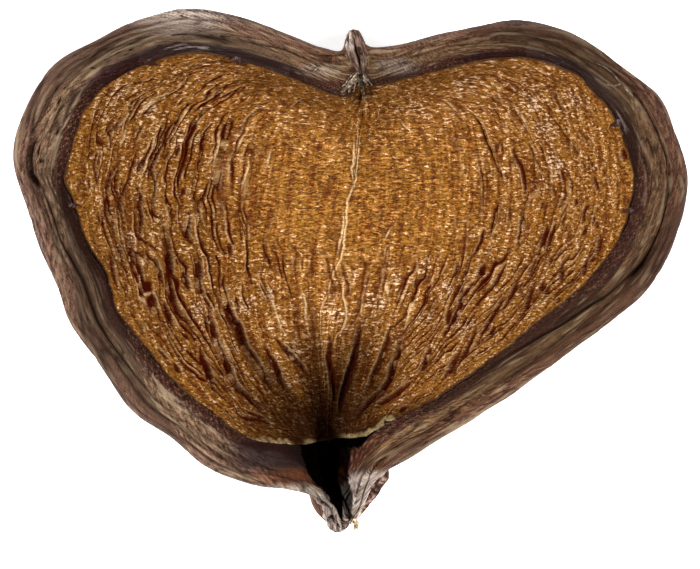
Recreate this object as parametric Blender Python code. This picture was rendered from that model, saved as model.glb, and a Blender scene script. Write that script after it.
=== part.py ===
"""Java olive seed pod: one woody follicle, split open along its seam, emptied and lying on its back.

The pod's wall is a single closed surface. It is built the way the fruit grew, as crosswise sections that
follow each other from the stalk to the beak. Each section starts on the keel underneath, climbs the left
flank to the lip, crosses the broad face of the rim and runs down over the lining to the midrib, and then
does the same on the right in reverse. The neck at the stalk and the spurs that held the seeds are solids
of their own that are fused to the wall. Seen from above, +X is right and +Y points to the beak. +Z is up.
"""

import bmesh
import bpy
import numpy as np

MM = 0.001

# Driving sizes, in millimetres
LIP_ROLL = 3.4
FOLD_DEPTH = 1.15
VEIN_HEIGHT = 0.5
BARK_RELIEF = 0.22
NECK_RIDGE = 0.35
SPUR_LENGTH = 1.6
SPUR_WIDTH = 1.3
SPUR_ROOT = 1.6
SLIVER = 0.02

# Shape of the flank outside and of the bowl inside: how late they climb towards the lip
FLANK_ROUNDNESS = 2.1
BOWL_ROUNDNESS = 2.4

# Counts of the grid that the wall is made of
FLANK_STEPS = 12
FOLDS_PER_SIDE = 10
SECTIONS = 59
NECK_RIDGES = 14
NECK_POINTS = 42

# The pod's edge from above, from the stalk's end round to the beak: x, y and the width of the rim's face.
# All are millimetres from the middle of the spot that the pod rests on.
LEFT_EDGE = [
    (0.0, -45.3, 2.0),
    (-0.8, -46.4, 2.6),
    (-2.2, -47.0, 3.2),
    (-3.6, -46.3, 3.6),
    (-4.4, -44.6, 3.6),
    (-5.0, -42.6, 3.2),
    (-7.4, -40.7, 3.6),
    (-10.6, -39.9, 7.2),
    (-14.3, -39.5, 8.0),
    (-21.6, -36.8, 7.4),
    (-28.7, -31.5, 7.3),
    (-34.7, -27.1, 8.0),
    (-40.1, -19.3, 7.4),
    (-44.7, -13.0, 7.7),
    (-46.6, -7.3, 8.0),
    (-49.3, -0.6, 7.2),
    (-50.9, 4.3, 7.1),
    (-53.7, 12.4, 8.4),
    (-52.5, 18.9, 8.7),
    (-48.7, 26.2, 8.6),
    (-42.0, 31.2, 8.5),
    (-34.7, 34.9, 9.7),
    (-25.5, 36.7, 14.6),
    (-19.2, 36.0, 17.1),
    (-10.0, 32.8, 13.6),
    (-4.4, 30.8, 7.6),
    (-1.5, 30.5, 4.0),
    (-0.8, 32.4, 2.4),
    (0.25, 33.4, 1.6),
]
RIGHT_EDGE = [
    (0.0, -45.3, 2.0),
    (0.9, -44.6, 2.2),
    (1.5, -43.4, 2.2),
    (2.6, -41.4, 2.6),
    (3.6, -39.0, 3.4),
    (5.2, -37.2, 5.2),
    (7.8, -35.6, 6.6),
    (12.2, -33.1, 6.7),
    (17.3, -29.8, 6.4),
    (26.8, -23.5, 7.1),
    (35.5, -17.6, 8.6),
    (43.0, -11.6, 9.4),
    (47.1, -7.4, 9.3),
    (51.2, -0.2, 8.4),
    (53.1, 5.5, 8.6),
    (53.7, 9.5, 8.6),
    (52.0, 16.2, 8.1),
    (47.4, 24.3, 7.6),
    (41.5, 29.0, 6.4),
    (34.2, 33.4, 8.2),
    (26.9, 34.9, 11.1),
    (18.9, 34.1, 11.6),
    (13.6, 32.8, 9.9),
    (6.4, 31.0, 7.2),
    (2.4, 31.4, 4.0),
    (1.6, 32.5, 2.4),
    (0.25, 33.4, 1.6),
]

# The midrib and the heights of its sections, stalk to beak: share of the way along the edge, x, y,
# height of the lip's crest, of the midrib inside and of the keel outside, and half the gap at the midrib.
MIDRIB = [
    (0.000, 0.0, -45.3, 19.5, 19.5, 19.5, 0.2),
    (0.020, -0.1, -44.3, 21.6, 20.0, 17.0, 0.25),
    (0.040, -1.1, -42.0, 23.8, 19.0, 14.0, 0.3),
    (0.058, -2.7, -39.6, 25.6, 16.0, 10.6, 1.5),
    (0.080, -3.5, -33.2, 27.2, 12.8, 7.2, 1.9),
    (0.105, -3.3, -24.0, 28.8, 8.4, 2.9, 0.5),
    (0.150, -3.0, -17.5, 31.0, 6.0, 1.1, 0.0),
    (0.210, -2.4, -12.5, 33.0, 4.9, 0.4, 0.0),
    (0.320, -1.8, -6.5, 34.6, 4.6, -0.3, 0.0),
    (0.460, -1.0, 0.0, 35.0, 4.4, -0.6, 0.0),
    (0.550, -0.3, 4.5, 35.0, 4.7, -0.4, 0.0),
    (0.645, 0.4, 9.0, 34.4, 5.6, 0.4, 0.0),
    (0.754, 0.9, 13.5, 32.6, 8.2, 2.6, 0.0),
    (0.857, 1.4, 17.8, 30.0, 12.8, 6.4, 0.0),
    (0.921, 1.9, 21.6, 28.2, 19.0, 11.4, 0.2),
    (0.955, 1.8, 25.2, 27.4, 23.6, 16.4, 0.3),
    (0.975, 1.3, 28.4, 27.4, 25.2, 20.0, 0.3),
    (0.990, 0.7, 31.4, 27.8, 26.6, 23.6, 0.3),
    (1.000, 0.25, 33.4, 28.0, 28.0, 28.0, 0.2),
]

# The rim's face: share of its width from the outside in, and millimetres below the crest.
# It has the rolled lip, a groove, the fibrous band and the step down to the lining.
RIM_FACE = [
    (0.00, 3.4),
    (0.03, 1.9),
    (0.11, 0.5),
    (0.21, 0.0),
    (0.30, 0.3),
    (0.37, 1.1),
    (0.45, 0.7),
    (0.62, 0.9),
    (0.80, 1.6),
    (0.92, 2.5),
    (1.00, 3.4),
]

# The neck under the lips: y and z of its axis, x of its axis, half width and half height
NECK = [
    (-33.4, 9.6, -2.2, 3.8, 1.5),
    (-35.6, 10.1, -1.2, 6.4, 2.8),
    (-38.2, 11.2, -0.7, 6.6, 3.3),
    (-40.4, 12.5, -1.1, 5.7, 3.4),
    (-42.6, 14.6, -1.6, 4.5, 3.6),
    (-44.4, 15.6, -1.8, 3.2, 3.0),
    (-45.7, 16.3, -1.8, 1.8, 1.9),
]
NECK_TIPS = [(-2.6, -32.4, 9.6), (-1.8, -46.2, 16.6)]

# The spurs stand where the seeds hung: which side, and share of the way along the edge
LEFT_SPURS = [0.345, 0.513, 0.722, 0.800]
RIGHT_SPURS = [0.510, 0.620]

# Pale fibres left at the torn end of the stalk: x, y and z of the root and of the tip
FIBRES = [
    ((0.2, -44.2, 17.2), (1.3, -46.3, 17.0)),
    ((-0.4, -44.6, 16.6), (0.4, -46.9, 16.2)),
    ((0.8, -43.8, 16.4), (1.7, -45.6, 15.4)),
]
FIBRE_WIDTH = 0.9


def main():
    for obj in list(bpy.data.objects):
        bpy.data.objects.remove(obj)
    share = station_shares()
    left = side_of_section(LEFT_EDGE, share, 1)
    right = side_of_section(RIGHT_EDGE, share, 2)
    pod = mesh_object("pod", *pod_wall(left, right))
    parts = [mesh_object("neck", *neck())]
    parts += [mesh_object("spur", *spur(left, share, at)) for at in LEFT_SPURS]
    parts += [mesh_object("spur", *spur(right, share, at)) for at in RIGHT_SPURS]
    parts += [mesh_object("fibre", *cone(np.array(root), np.array(tip), FIBRE_WIDTH)) for root, tip in FIBRES]
    fuse(pod, parts)
    pod.data.materials.append(bark())


def smooth_through(knots, values, at):
    """Cubic Hermite curve through the values at the knots, with slopes from their neighbours."""
    slopes = np.gradient(values, knots, axis=0)
    i = np.clip(np.searchsorted(knots, at, side="right") - 1, 0, len(knots) - 2)
    span = (knots[i + 1] - knots[i])[:, None]
    s = (at - knots[i])[:, None] / span
    rise = s * s * (3 - 2 * s)
    leave = s * (1 - s) ** 2 * span
    arrive = s * s * (s - 1) * span
    return values[i] * (1 - rise) + values[i + 1] * rise + slopes[i] * leave + slopes[i + 1] * arrive


def along_edge(edge, share):
    """Edge points and rim widths at these shares of the edge's length."""
    edge = np.array(edge)
    steps = np.linalg.norm(np.diff(edge[:, :2], axis=0), axis=1)
    reach = np.concatenate([[0], np.cumsum(steps)])
    found = smooth_through(reach / reach[-1], edge, share)
    return found[:, :2], found[:, 2]


def station_shares():
    """Shares along the edge at which sections are cut, closer together towards the stalk and the beak."""
    even = np.linspace(0, 1, SECTIONS + 2)[1:-1]
    return even - 0.58 * np.sin(2 * np.pi * even) / (2 * np.pi)


def side_of_section(edge, share, seed):
    """One side of every section, as points from the keel over the lip to the midrib."""
    midrib = np.array(MIDRIB)
    spine = smooth_through(midrib[:, 0], midrib[:, 1:], share)
    middle, crest, floor, keel, gap = spine[:, :2], spine[:, 2], spine[:, 3], spine[:, 4], spine[:, 5]
    lip, face_width = along_edge(edge, share)
    reach = np.linalg.norm(lip - middle, axis=1)
    face_width = np.minimum(face_width, reach - np.minimum(np.maximum(gap, 0.2), reach * 0.5))
    roll = np.minimum(1, reach / 5.0)
    lining = lip + (middle - lip) * (face_width / reach)[:, None]
    rng = np.random.default_rng(seed)

    angle = np.linspace(0, np.pi / 2, FLANK_STEPS + 1)[:-1]
    out = np.sin(angle)
    bulge = 0.65 * out**FLANK_ROUNDNESS + 0.35 * (1 - np.sqrt(1 - out**3))
    side = crest - LIP_ROLL * roll
    flank = surface(middle, lip, keel, side, out, bulge)
    ribs = rng.uniform(0, BARK_RELIEF, (1, FLANK_STEPS)) * np.minimum(1, reach / 20.0)[:, None]
    ribs[:, :3] = 0
    flank = flank - normals(flank) * ribs[:, :, None]

    face = np.array(RIM_FACE)
    rim_xy = lip[:, None] + (lining - lip)[:, None] * face[None, :, :1]
    rim_z = crest[:, None] - face[None, :, 1] * roll[:, None]
    rim = np.dstack([rim_xy, rim_z])

    inwards = np.linspace(1, 0, 2 * FOLDS_PER_SIDE + 3)[1:]
    bowl = surface(middle, lining, floor, side, inwards, inwards**BOWL_ROUNDNESS)
    bowl = bowl + normals(bowl) * folds(share, reach, len(inwards), rng)[:, :, None]
    return np.concatenate([flank, rim, bowl], axis=1)


def surface(middle, edge, low, high, out, climb):
    """Points from the middle (out 0) to the edge (out 1) that climb from low to high."""
    xy = middle[:, None] + (edge - middle)[:, None] * out[None, :, None]
    z = low[:, None] + (high - low)[:, None] * climb[None, :]
    return np.dstack([xy, z])


def normals(grid):
    """Upward unit normals of a grid of points."""
    along = np.gradient(grid, axis=0)
    across = np.gradient(grid, axis=1)
    normal = np.cross(along, across)
    normal /= np.linalg.norm(normal, axis=2)[:, :, None] + 1e-9
    return normal * np.sign(normal[:, :, 2:] + 1e-9)


def folds(share, reach, rows, rng):
    """Height of the lining's long folds: each second row of the bowl is a valley, the midrib a thin vein."""
    height = np.zeros((len(share), rows))
    spacing = reach / rows
    fade = np.clip((share - 0.085) / 0.05, 0, 1) * np.clip((0.97 - share) / 0.12, 0, 1)
    for row in range(1, rows - 1, 2):
        waves = rng.uniform(0, 2 * np.pi, 3)
        come_and_go = 0.62 + 0.38 * np.sin(9 * share + waves[0]) * np.sin(23 * share + waves[1])
        depth = np.minimum(FOLD_DEPTH, 0.42 * spacing) * come_and_go * fade
        height[:, row] = -depth
    height[:, -1] = VEIN_HEIGHT * fade
    return height


def pod_wall(left, right):
    """The closed wall: rings of points for its sections, drawn to a point at the stalk and at the beak."""
    rings = np.concatenate([left, right[:, -2:0:-1]], axis=1)
    rings[:, :, 2] = np.maximum(rings[:, :, 2], 0)
    ends = np.array([MIDRIB[0][1:4], MIDRIB[-1][1:4]])
    return closed_tube(rings, ends)


def neck():
    """The ridged neck that joined the pod to its stalk, as rings of points round an axis along Y."""
    sizes = np.array(NECK)
    turn = np.linspace(0, 2 * np.pi, NECK_POINTS, endpoint=False)
    fade = np.clip(sizes[:, 3] / 4.0, 0.3, 1)[:, None]
    swell = 1 + NECK_RIDGE / 5.0 * fade * np.cos(NECK_RIDGES * turn)[None, :]
    x = sizes[:, 2:3] + sizes[:, 3:4] * swell * np.cos(turn)[None, :]
    z = sizes[:, 1:2] + sizes[:, 4:5] * swell * np.sin(turn)[None, :]
    y = np.repeat(sizes[:, :1], NECK_POINTS, axis=1)
    return closed_tube(np.dstack([x, y, z]), np.array(NECK_TIPS))


def spur(side, share, at):
    """A short pointed spur on the lining's upper edge, pointing into the bowl."""
    row = FLANK_STEPS + len(RIM_FACE)
    station = int(np.argmin(np.abs(share - at)))
    edge = side[station, row]
    inwards = side[station, row + 3] - edge
    inwards[2] *= 0.3
    inwards /= np.linalg.norm(inwards)
    return cone(edge - inwards * SPUR_ROOT, edge + inwards * SPUR_LENGTH, SPUR_WIDTH)


def cone(root, tip, width):
    """A six-sided spike from the root to the tip, cut blunt at both ends by a small point."""
    axis = (tip - root) / np.linalg.norm(tip - root)
    side = np.cross(axis, [0, 0, 1])
    side /= np.linalg.norm(side)
    up = np.cross(side, axis)
    turn = np.linspace(0, 2 * np.pi, 6, endpoint=False)[:, None]
    spoke = (np.cos(turn) * side + np.sin(turn) * up) * width / 2
    rings = np.array([root + spoke, root + (tip - root) * 0.6 + spoke * 0.8, tip + spoke * 0.35])
    ends = np.array([root - axis * 0.1, tip + axis * 0.1])
    return closed_tube(rings, ends)


def closed_tube(rings, ends):
    """Vertices and faces of a tube through the rings, closed by a fan at each end."""
    count, sides = rings.shape[:2]
    index = np.arange(count * sides).reshape(count, sides)
    after = np.roll(index, -1, axis=1)
    walls = np.stack([index[:-1], after[:-1], after[1:], index[1:]], axis=2).reshape(-1, 4)
    first, last = count * sides, count * sides + 1
    start = [(first, b, a) for a, b in zip(index[0], after[0])]
    finish = [(last, a, b) for a, b in zip(index[-1], after[-1])]
    points = np.concatenate([rings.reshape(-1, 3), ends])
    return points, walls.tolist() + start + finish


def mesh_object(name, points, faces):
    """An object whose faces point outwards, in metres."""
    mesh = bpy.data.meshes.new(name)
    mesh.from_pydata((points * MM).tolist(), [], faces)
    mesh.validate()
    made = bpy.data.objects.new(name, mesh)
    bpy.context.scene.collection.objects.link(made)
    face_outwards(mesh)
    return made


def face_outwards(mesh):
    """Turn the faces round when the volume inside them comes out negative."""
    mesh.calc_loop_triangles()
    corners = np.array([v.co[:] for v in mesh.vertices])
    triangles = np.array([t.vertices[:] for t in mesh.loop_triangles])
    a, b, c = (corners[triangles[:, k]] for k in range(3))
    if np.sum(a * np.cross(b, c)) < 0:
        mesh.flip_normals()


def fuse(body, parts):
    """Union the parts into the body with one Boolean on a collection, and apply it."""
    group = bpy.data.collections.new("fused")
    bpy.context.scene.collection.children.link(group)
    for part in parts:
        bpy.context.scene.collection.objects.unlink(part)
        group.objects.link(part)
    union = body.modifiers.new("union", "BOOLEAN")
    union.operation = "UNION"
    union.operand_type = "COLLECTION"
    union.collection = group
    union.solver = "EXACT"
    bpy.context.view_layer.objects.active = body
    bpy.ops.object.modifier_apply(modifier=union.name)
    for part in parts:
        bpy.data.objects.remove(part)
    bpy.data.collections.remove(group)
    tidy_seams(body.data)


def tidy_seams(mesh):
    """Triangles only, with the slivers along the Boolean's seams taken out."""
    work = bmesh.new()
    work.from_mesh(mesh)
    bmesh.ops.triangulate(work, faces=work.faces)
    bmesh.ops.remove_doubles(work, verts=work.verts, dist=SLIVER * MM)
    bmesh.ops.dissolve_degenerate(work, edges=work.edges, dist=SLIVER * MM)
    bmesh.ops.triangulate(work, faces=work.faces)
    work.to_mesh(mesh)
    work.free()


def bark():
    """Dull brown wood."""
    material = bpy.data.materials.new("pod wood")
    material.use_nodes = True
    shader = material.node_tree.nodes["Principled BSDF"]
    shader.inputs["Base Color"].default_value = (0.19, 0.10, 0.05, 1)
    shader.inputs["Roughness"].default_value = 0.7
    return material


main()
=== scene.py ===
"""Looks of the Java olive seed pod: a split, emptied woody follicle that lies on its back.

The dressed pod is made of surfaces worked out on grids, in millimetres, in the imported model's own frame.
+X is right, +Y points to the beak and +Z is up. The husk and the lining use the same crosswise sections
as the solid: share is the place of a section from the stalk (0) to the beak (1), and reach is how far out
a point is from the midrib (0) to the edge (1).
"""

import bpy
import numpy as np
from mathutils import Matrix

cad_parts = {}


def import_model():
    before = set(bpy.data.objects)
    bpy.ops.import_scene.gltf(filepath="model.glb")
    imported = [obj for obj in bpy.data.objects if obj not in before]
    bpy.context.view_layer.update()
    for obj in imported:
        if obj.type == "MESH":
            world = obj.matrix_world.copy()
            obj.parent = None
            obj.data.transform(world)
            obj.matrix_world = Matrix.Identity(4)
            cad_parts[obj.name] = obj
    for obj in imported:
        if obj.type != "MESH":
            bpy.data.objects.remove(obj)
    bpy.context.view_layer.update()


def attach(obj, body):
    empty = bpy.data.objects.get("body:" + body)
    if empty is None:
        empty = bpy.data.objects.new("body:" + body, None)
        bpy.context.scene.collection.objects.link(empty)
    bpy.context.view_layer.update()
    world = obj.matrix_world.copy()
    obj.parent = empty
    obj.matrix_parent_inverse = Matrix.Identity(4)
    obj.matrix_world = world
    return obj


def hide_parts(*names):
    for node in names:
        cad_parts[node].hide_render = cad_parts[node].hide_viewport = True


MM = 0.001

# Sizes that the husk's grid shares with the solid, in millimetres
LIP_ROLL = 3.4
FLANK_ROUNDNESS = 2.1
BOWL_ROUNDNESS = 2.4

# How finely the surfaces are cut
HUSK_SECTIONS = 420
FLANK_POINTS = 32
RIM_POINTS = 56
UNDER_LINING_POINTS = 24
LINING_SECTIONS = 280
LINING_POINTS = 318
LINING_BACK_POINTS = 20
NECK_SECTIONS = 120
NECK_POINTS = 260
HOOD_SECTIONS = 70
HOOD_POINTS = 120
STRAND_SIDES = 6
STRAND_STEPS = 14

# Sections stand closer together at both ends, by this much
HUSK_CROWDING = 0.58
LINING_CROWDING = 0.5

# Millimetres along the midrib's curve, from the stalk to the beak, that patterns are counted over
SPINE_LENGTH = 155.0

# The stalk's remains: the ridges round them, and the length and girth that their pattern is counted over. The
# hood is as long as it is round.
NECK_RIDGES = 44
NECK_LENGTH = 13.0
NECK_GIRTH = 30.0
HOOD_LENGTH = 8.0

# How many fibres hang from the beak, and how many straws from the foot
BEAK_FIBRES = 50
STRAWS = 11

# The lining is a papery skin that stands clear of the wood under it
LINING_THICKNESS = 0.35
LINING_CLEARANCE = 1.4
LINING_START = 0.0815
LINING_END = 0.962

# Where the camera is: straight above this point, this far over the rim
CAMERA_X = -0.16
CAMERA_Y = -7.05
CAMERA_HEIGHT = 900.0
RIM_LEVEL = 33.0
FRAME_WIDTH = 110.95
SENSOR_WIDTH = 36.0

# The pod's edge from above, from the stalk's end round to the beak: x, y and the width of the rim's face
LEFT_EDGE = [
    (0.0, -45.3, 2.0), (-0.8, -46.4, 2.6), (-2.2, -47.0, 3.2), (-3.6, -46.3, 3.6), (-4.4, -44.6, 3.6),
    (-5.0, -42.6, 3.2), (-7.4, -40.7, 3.6), (-10.6, -39.9, 7.2), (-14.3, -39.5, 8.0), (-21.6, -36.8, 7.4),
    (-28.7, -31.5, 7.3), (-34.7, -27.1, 8.0), (-40.1, -19.3, 7.4), (-44.7, -13.0, 7.7),
    (-46.6, -7.3, 8.0), (-49.3, -0.6, 7.2), (-50.9, 4.3, 7.1), (-53.7, 12.4, 8.4), (-52.5, 18.9, 8.7),
    (-48.7, 26.2, 8.6), (-42.0, 31.2, 8.5), (-34.7, 34.9, 9.7), (-25.5, 36.7, 14.6), (-19.2, 36.0, 17.1),
    (-10.0, 32.8, 13.6), (-4.4, 30.8, 7.6), (-1.5, 30.5, 4.0), (-0.8, 32.4, 2.4), (0.25, 33.4, 1.6),
]
RIGHT_EDGE = [
    (0.0, -45.3, 2.0), (0.9, -44.6, 2.2), (1.5, -43.4, 2.2), (2.6, -41.4, 2.6), (3.6, -39.0, 3.4),
    (5.2, -37.2, 5.2), (7.8, -35.6, 6.6), (12.2, -33.1, 6.7), (17.3, -29.8, 6.4), (26.8, -23.5, 7.1),
    (35.5, -17.6, 8.6), (43.0, -11.6, 9.4), (47.1, -7.4, 9.3), (51.2, -0.2, 8.4), (53.1, 5.5, 8.6),
    (53.7, 9.5, 8.6), (52.0, 16.2, 8.1), (47.4, 24.3, 7.6), (41.5, 29.0, 6.4), (34.2, 33.4, 8.2),
    (26.9, 34.9, 11.1), (18.9, 34.1, 11.6), (13.6, 32.8, 9.9), (6.4, 31.0, 7.2), (2.4, 31.4, 4.0),
    (1.6, 32.5, 2.4), (0.25, 33.4, 1.6),
]

# Sections from the stalk to the beak: share, midrib x and y, height of the lip's crest, of the midrib
# inside and of the keel outside, and half the gap at the midrib
MIDRIB = [
    (0.000, 0.0, -45.3, 19.5, 19.5, 19.5, 0.2),
    (0.020, -0.1, -44.3, 21.6, 20.0, 17.0, 0.25),
    (0.040, -1.1, -42.0, 23.8, 19.0, 14.0, 0.3),
    (0.058, -2.7, -39.6, 25.6, 16.0, 10.6, 1.5),
    (0.080, -3.5, -33.2, 27.2, 12.8, 7.2, 1.9),
    (0.105, -3.3, -24.0, 28.8, 8.4, 2.9, 0.5),
    (0.150, -3.0, -17.5, 31.0, 6.0, 1.1, 0.0),
    (0.210, -2.4, -12.5, 33.0, 4.9, 0.4, 0.0),
    (0.320, -1.8, -6.5, 34.6, 4.6, -0.3, 0.0),
    (0.460, -1.0, 0.0, 35.0, 4.4, -0.6, 0.0),
    (0.550, -0.3, 4.5, 35.0, 4.7, -0.4, 0.0),
    (0.645, 0.4, 9.0, 34.4, 5.6, 0.4, 0.0),
    (0.754, 0.9, 13.5, 32.6, 8.2, 2.6, 0.0),
    (0.857, 1.4, 17.8, 30.0, 12.8, 6.4, 0.0),
    (0.921, 1.9, 21.6, 28.2, 19.0, 11.4, 0.2),
    (0.955, 1.8, 25.2, 27.4, 23.6, 16.4, 0.3),
    (0.975, 1.3, 28.4, 27.4, 25.2, 20.0, 0.3),
    (0.990, 0.7, 31.4, 27.8, 26.6, 23.6, 0.3),
    (1.000, 0.25, 33.4, 28.0, 28.0, 28.0, 0.2),
]

# The rim's face: share of its width from the outside in, and millimetres below the crest
RIM_FACE = [
    (0.00, 3.4), (0.03, 1.9), (0.11, 0.5), (0.21, 0.0), (0.30, 0.3), (0.37, 1.1), (0.45, 0.7),
    (0.62, 0.9), (0.80, 1.6), (0.92, 2.5), (1.00, 3.4),
]

# The torn end of the lining over the split: x and y
TORN_EDGE = [
    (-16.0, -32.0), (-12.8, -32.3), (-10.0, -32.9), (-7.5, -32.7), (-4.0, -32.4), (-2.4, -32.0), (0.0, -31.9),
    (2.0, -31.4), (4.0, -30.4), (5.5, -29.0),
]

# The stalk's ridged remains under the split: y, z, x, half width and half height of each section
NECK = [
    (-33.4, 9.6, -2.2, 3.8, 1.5),
    (-35.6, 10.1, -1.2, 6.4, 2.8),
    (-38.2, 11.2, -0.7, 6.6, 3.3),
    (-40.4, 12.5, -1.1, 5.7, 3.4),
    (-42.6, 14.6, -1.6, 4.5, 3.6),
    (-44.4, 15.6, -1.8, 3.2, 3.0),
    (-45.7, 16.3, -1.8, 1.8, 1.9),
]
NECK_TIPS = [(-2.6, -32.4, 9.6), (-1.8, -46.2, 16.6)]

# Spurs on the rim's inner edge: which edge, share, length and width
SPURS = [
    (LEFT_EDGE, 0.345, 1.2, 1.1),
    (LEFT_EDGE, 0.513, 1.5, 1.5),
    (LEFT_EDGE, 0.722, 1.7, 2.2),
    (LEFT_EDGE, 0.800, 1.5, 2.4),
    (RIGHT_EDGE, 0.510, 1.9, 1.3),
    (RIGHT_EDGE, 0.620, 1.5, 1.9),
]

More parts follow.
